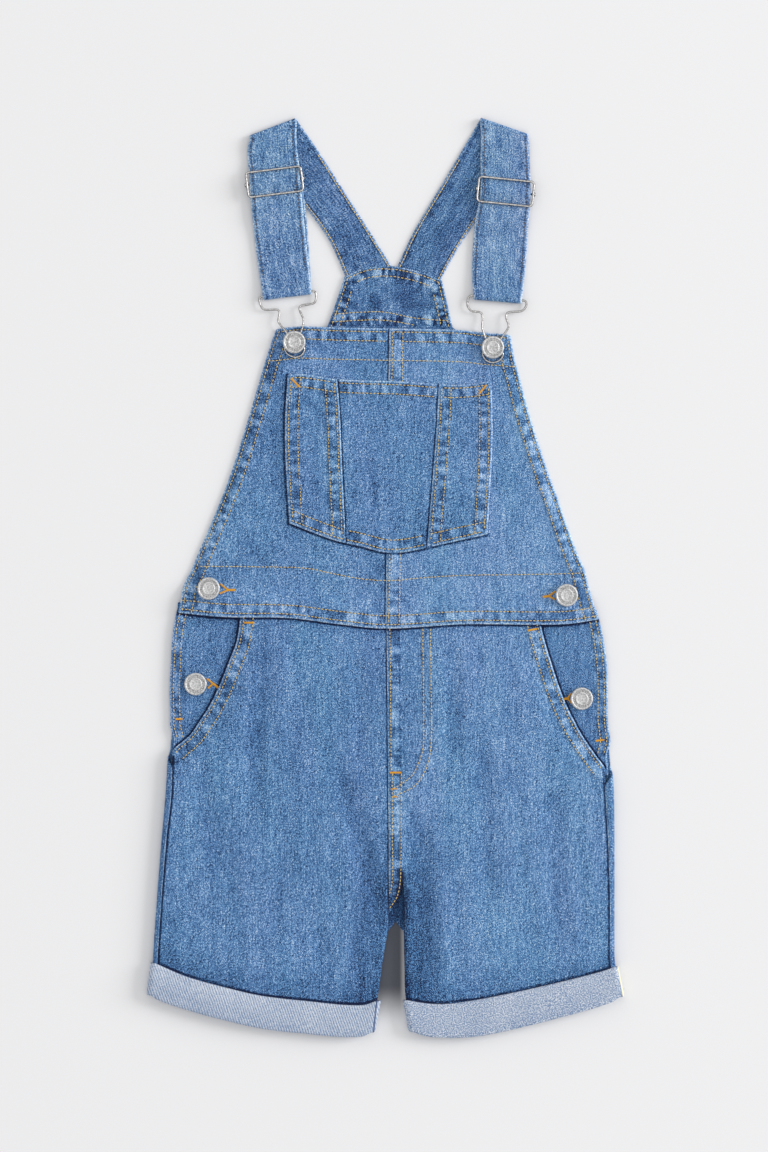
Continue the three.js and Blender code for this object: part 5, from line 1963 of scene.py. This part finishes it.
class DUNGAREE_OT_wires(bpy.types.Operator):
    """Make the hooks and the sliders of the straps"""

    bl_idname = "dungaree.wires"
    bl_label = "Hooks and sliders"

    def execute(self, context):
        for side in SIDES:
            self.hook(side)
            self.slider(side)
        return {"FINISHED"}

    @staticmethod
    def hook(side):
        rows = HOOKS[side]
        low, high = cad_height(f"hook_{side}")
        z = mix(low + WIRE / 2, high - WIRE / 2, rows["share"])
        line = ring_curve(np.stack([rows["x"], rows["y"], z], -1), 260)
        thing = mesh_object(f"hook_{side}_metal", *tube(line, WIRE / 2 * 0.92), finish_of("wire"))
        say(thing.data, "recess", side_shade(thing.data))
        stand_for(thing, f"hook_{side}")

    @staticmethod
    def slider(side):
        x, y, turn = SLIDERS[side]
        a, b, corner = SLIDER_LENGTH / 2, SLIDER_WIDTH / 2, 2.6
        outline = []
        for sx, sy, start in ((1, 1, 0), (-1, 1, 90), (-1, -1, 180), (1, -1, 270)):
            for angle in np.radians(np.linspace(start, start + 90, 7)):
                outline.append((sx * (a - corner) + corner * math.cos(angle),
                                sy * (b - corner) + corner * math.sin(angle)))
        outline = np.array(outline)
        dense = []
        for k in range(len(outline)):
            p, q = outline[k], outline[(k + 1) % len(outline)]
            steps = max(1, int(np.linalg.norm(q - p) / 2))
            dense += [mix(p, q, t) for t in np.arange(steps) / steps]
        dense = np.array(dense)
        frame_line = np.column_stack([dense, np.full(len(dense), SLIDER_FRAME)])
        parts = [tube(frame_line, WIRE / 2)]
        bar = [(0, -a), (WIRE / 2, -a), (WIRE / 2, a), (0, a)]
        parts.append(lying_lathe(bar, 14, [0, 0, SLIDER_BAR]))
        stud = [(0, -1.3), (1.1, -1.25), (1.5, -0.8), (1.5, 0.8), (1.1, 1.25), (0, 1.3)]
        for end in (-1, 1):
            parts.append(lying_lathe(stud, 18, [end * (a + 0.5), 0, mix(SLIDER_BAR, SLIDER_FRAME, 0.5)]))
        points, faces = joined(parts)
        points = spun(points, math.radians(turn)) + [x, y, 0]
        thing = mesh_object(f"slider_{side}_metal", points, faces, finish_of("wire"))
        say(thing.data, "recess", side_shade(thing.data))
        stand_for(thing, f"slider_{side}")


# Stitching

STITCH_RINGS = table("along around", (-0.78, 0.72), (-0.3, 1), (0.3, 1), (0.78, 0.72))


def stitches(starts, ends, normals, width):
    """Short plump threads from start to end points, as points and faces."""
    starts, ends, normals = (np.asarray(a, float) for a in (starts, ends, normals))
    middle, reach = (starts + ends) / 2, (ends - starts) / 2
    way = reach / (np.linalg.norm(reach, axis=1)[:, None] + 1e-9)
    side_way = np.cross(normals, way)
    side_way /= np.linalg.norm(side_way, axis=1)[:, None] + 1e-9
    up = np.cross(way, side_way)
    sides = 6
    angle = (np.arange(sides) * 2 * np.pi / sides)[None, :, None]
    made = []
    for along, around in zip(STITCH_RINGS["along"], STITCH_RINGS["around"]):
        sink = -0.3 * width * along**2
        centre = middle + reach * along + up * sink
        thick, flat = np.cos(angle) * side_way[:, None], 0.8 * np.sin(angle) * up[:, None]
        made.append(centre[:, None] + width / 2 * around * (thick + flat))
    tips = [middle + reach * end - up * 0.45 * width for end in (-1, 1)]
    points = np.concatenate([*made, tips[0][:, None], tips[1][:, None]], axis=1)
    each = points.shape[1]
    faces = []
    around = np.append(np.arange(sides), 0)
    for k in range(3):
        faces += strips(around + k * sides, around + (k + 1) * sides)
    foot, head = 4 * sides, 4 * sides + 1
    triangles = [(foot, int(around[k + 1]), int(around[k])) for k in range(sides)]
    triangles += [(head, 3 * sides + int(around[k]), 3 * sides + int(around[k + 1])) for k in range(sides)]
    single = [tuple(int(i) for i in face) for face in faces] + triangles
    every = [tuple(i + n * each for i in face) for n in range(len(middle)) for face in single]
    return points.reshape(-1, 3), every


def dense_line(line, step):
    """Points a step apart along a line."""
    run = run_of(line)
    count = max(int(run[-1] / step), 1)
    at = np.arange(count + 1) * run[-1] / count
    return np.stack([np.interp(at, run, line[:, k]) for k in range(2)], -1)


class DUNGAREE_OT_stitching(bpy.types.Operator):
    """Sew the rows of topstitching, the bartacks and the buttonholes"""

    bl_idname = "dungaree.stitching"
    bl_label = "Stitching"

    def execute(self, context):
        lists = {colour: ([], [], []) for colour in ("gold", "navy", "bright")}
        surfaces = {}
        random = np.random.RandomState(4)
        for line, colour, names, how in STITCHING:
            if names not in surfaces:
                surfaces[names] = tops(names)
            self.row(lists[colour], line, surfaces[names], random, **how)
        everything = tops([o.name for o in context.scene.objects if o.name.endswith("_cloth")])
        for x0, y0, x1, y1 in BARTACKS.values():
            self.bartack(lists["bright"], (x0, y0), (x1, y1), 1.7, everything)
        for x, y in FLY_BARS:
            self.bartack(lists["bright"], (x, y), (x + FLY_BAR_LENGTH, y), 1.0, everything)
        for upper, lower, meet, far in BUTTONHOLES.values():
            self.bartack(lists["bright"], upper, meet, 1.6, everything)
            self.bartack(lists["bright"], lower, meet, 1.6, everything)
            self.bartack(lists["bright"], meet, far, 2.1, everything)
        for colour, (starts, ends, normals) in lists.items():
            if not starts:
                continue
            width = size("thread_width") * (0.85 if colour == "bright" else 1)
            points, faces = stitches(starts, ends, normals, width)
            thing = mesh_object(f"{colour}_stitching", points, faces, finish_of(colour))
            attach(thing, "root")
        return {"FINISHED"}

    @staticmethod
    def row(kept, line, height, random, above=30.0, reach=(0.08, 0.84)):
        """A row of stitches along a line, left out where the cloth ends or steps.

        The cloth is looked for from the height above. The reach is where a stitch starts and ends,
        as shares of the way to the next."""
        points = dense_line(line, size("stitch_pitch"))
        points = points + random.uniform(-0.12, 0.12, points.shape)
        rise = size("thread_width") * 0.32
        for (ax, ay), (bx, by) in zip(points[:-1], points[1:]):
            (sx, ex), (sy, ey) = mix(ax, bx, np.array(reach)), mix(ay, by, np.array(reach))
            start_z, normal = height(sx, sy, above)
            end_z, _ = height(ex, ey, above)
            if start_z is None or end_z is None or abs(start_z - end_z) > 1.2:
                continue
            kept[0].append((sx, sy, start_z + rise))
            kept[1].append((ex, ey, end_z + rise))
            kept[2].append(tuple(normal))

    @staticmethod
    def bartack(kept, start, end, width, height, rise=0.3):
        """A bar of close threads laid across its own length."""
        start, end = np.array(start), np.array(end)
        length = np.linalg.norm(end - start)
        way = (end - start) / length
        across = np.array([-way[1], way[0]]) * width / 2
        count = max(int(length / 0.42), 2)
        for t in (np.arange(count) + 0.5) / count:
            middle = mix(start, end, t)
            z, normal = height(*middle)
            if z is None:
                continue
            kept[0].append((*(middle - across), z + rise))
            kept[1].append((*(middle + across), z + rise))
            kept[2].append(tuple(normal))


# Studio

class DUNGAREE_OT_studio(bpy.types.Operator):
    """Set out the floor, the light and the camera"""

    bl_idname = "dungaree.studio"
    bl_label = "Studio"

    def execute(self, context):
        scene = context.scene
        self.camera(scene, scene.dungaree_light)
        self.floor(scene.dungaree_colours)
        self.lights(scene, scene.dungaree_light)
        scene.view_settings.view_transform = "Standard"
        scene.view_settings.look = "None"
        return {"FINISHED"}

    @staticmethod
    def camera(scene, light):
        data = bpy.data.cameras.new("camera")
        camera = bpy.data.objects.new("camera", data)
        scene.collection.objects.link(camera)
        height_seen = 0.864  # of the floor, from the picture's top to its foot
        middle = (-0.75 * MM, 1.1 * MM)  # of the picture
        data.sensor_fit = "AUTO"
        data.sensor_width = 36
        data.lens = data.sensor_width * light.view_height / height_seen
        camera.location = (*middle, light.view_height)
        scene.camera = camera

    @staticmethod
    def floor(colours):
        reach = 9.0
        finish = Finish("floor")
        place = finish.add("ShaderNodeNewGeometry", {}, {}, "Position")
        cloud = finish.noise(place, 1.4, 1.0)
        x, y, _ = finish.split(place)
        pale, deep = opaque(colours.floor), (*[c * 0.985 for c in colours.floor], 1.0)
        even = finish.blend(cloud, deep, pale)
        # Painted shadow on the floor between the legs, deeper than the light alone casts there
        painted_gap_shadow = finish.fade(abs(x - 3.5 * MM), 7 * MM, 13 * MM) * finish.fade(y, -305 * MM, -338 * MM)
        painted_gap_shadow = painted_gap_shadow * finish.fade(y, -240 * MM, -230 * MM) * 0.93
        shaded = finish.blend(painted_gap_shadow, even, (0.045, 0.05, 0.07, 1.0))
        looks = finish.set(Base_Color=shaded, Roughness=0.9, Specular_IOR_Level=0.1)
        corners = [(sx * reach, sy * reach, -0.0003) for sx, sy in ((-1, -1), (1, -1), (1, 1), (-1, 1))]
        floor = mesh_object("floor", np.array(corners) / MM, [(0, 1, 2, 3)], looks)

    @staticmethod
    def lights(scene, light):
        world = bpy.data.worlds.new("studio")
        world.use_nodes = True
        scene.world = world
        background = world.node_tree.nodes["Background"]
        background.inputs["Color"].default_value = (1.0, 1.0, 1.0, 1.0)
        background.inputs["Strength"].default_value = light.sky
        data = bpy.data.lights.new("lamp", "AREA")
        data.shape = "RECTANGLE"
        data.size, data.size_y = 4.6, 4.6
        data.energy = light.lamp
        lamp = bpy.data.objects.new("lamp", data)
        lamp.location = (9.6, 2.4, 3.7)
        lamp.rotation_euler = (-Vector(lamp.location)).to_track_quat("-Z", "Y").to_euler()
        scene.collection.objects.link(lamp)


OPERATORS = (
    DUNGAREE_OT_studio,
    DUNGAREE_OT_back,
    DUNGAREE_OT_legs,
    DUNGAREE_OT_side_panels,
    DUNGAREE_OT_cuffs,
    DUNGAREE_OT_bib,
    DUNGAREE_OT_bib_pocket,
    DUNGAREE_OT_straps,
    DUNGAREE_OT_buttons,
    DUNGAREE_OT_wires,
    DUNGAREE_OT_stitching,
)
GROUPS = {
    "dungaree_sizes": DUNGAREE_PG_sizes,
    "dungaree_colours": DUNGAREE_PG_colours,
    "dungaree_light": DUNGAREE_PG_light,
}


class DUNGAREE_PT_panel(bpy.types.Panel):
    """Lists the parts of the dungarees and their settings"""

    bl_idname = "DUNGAREE_PT_panel"
    bl_label = "Dungarees"
    bl_space_type = "VIEW_3D"
    bl_region_type = "UI"
    bl_category = "Dungarees"

    def draw(self, context):
        for name in GROUPS:
            box = self.layout.box()
            group = getattr(context.scene, name)
            for key in group.__annotations__:
                box.prop(group, key)
        for operator in OPERATORS:
            self.layout.operator(operator.bl_idname)


def register():
    for group in (*GROUPS.values(), *OPERATORS, DUNGAREE_PT_panel):
        bpy.utils.register_class(group)
    for name, group in GROUPS.items():
        setattr(bpy.types.Scene, name, bpy.props.PointerProperty(type=group))


def unregister():
    for name in GROUPS:
        delattr(bpy.types.Scene, name)
    for group in (DUNGAREE_PT_panel, *reversed(OPERATORS), *GROUPS.values()):
        bpy.utils.unregister_class(group)


def main():
    register()
    for operator in OPERATORS:
        family, name = operator.bl_idname.split(".")
        getattr(getattr(bpy.ops, family), name)()


if __name__ == "__main__":
    main()
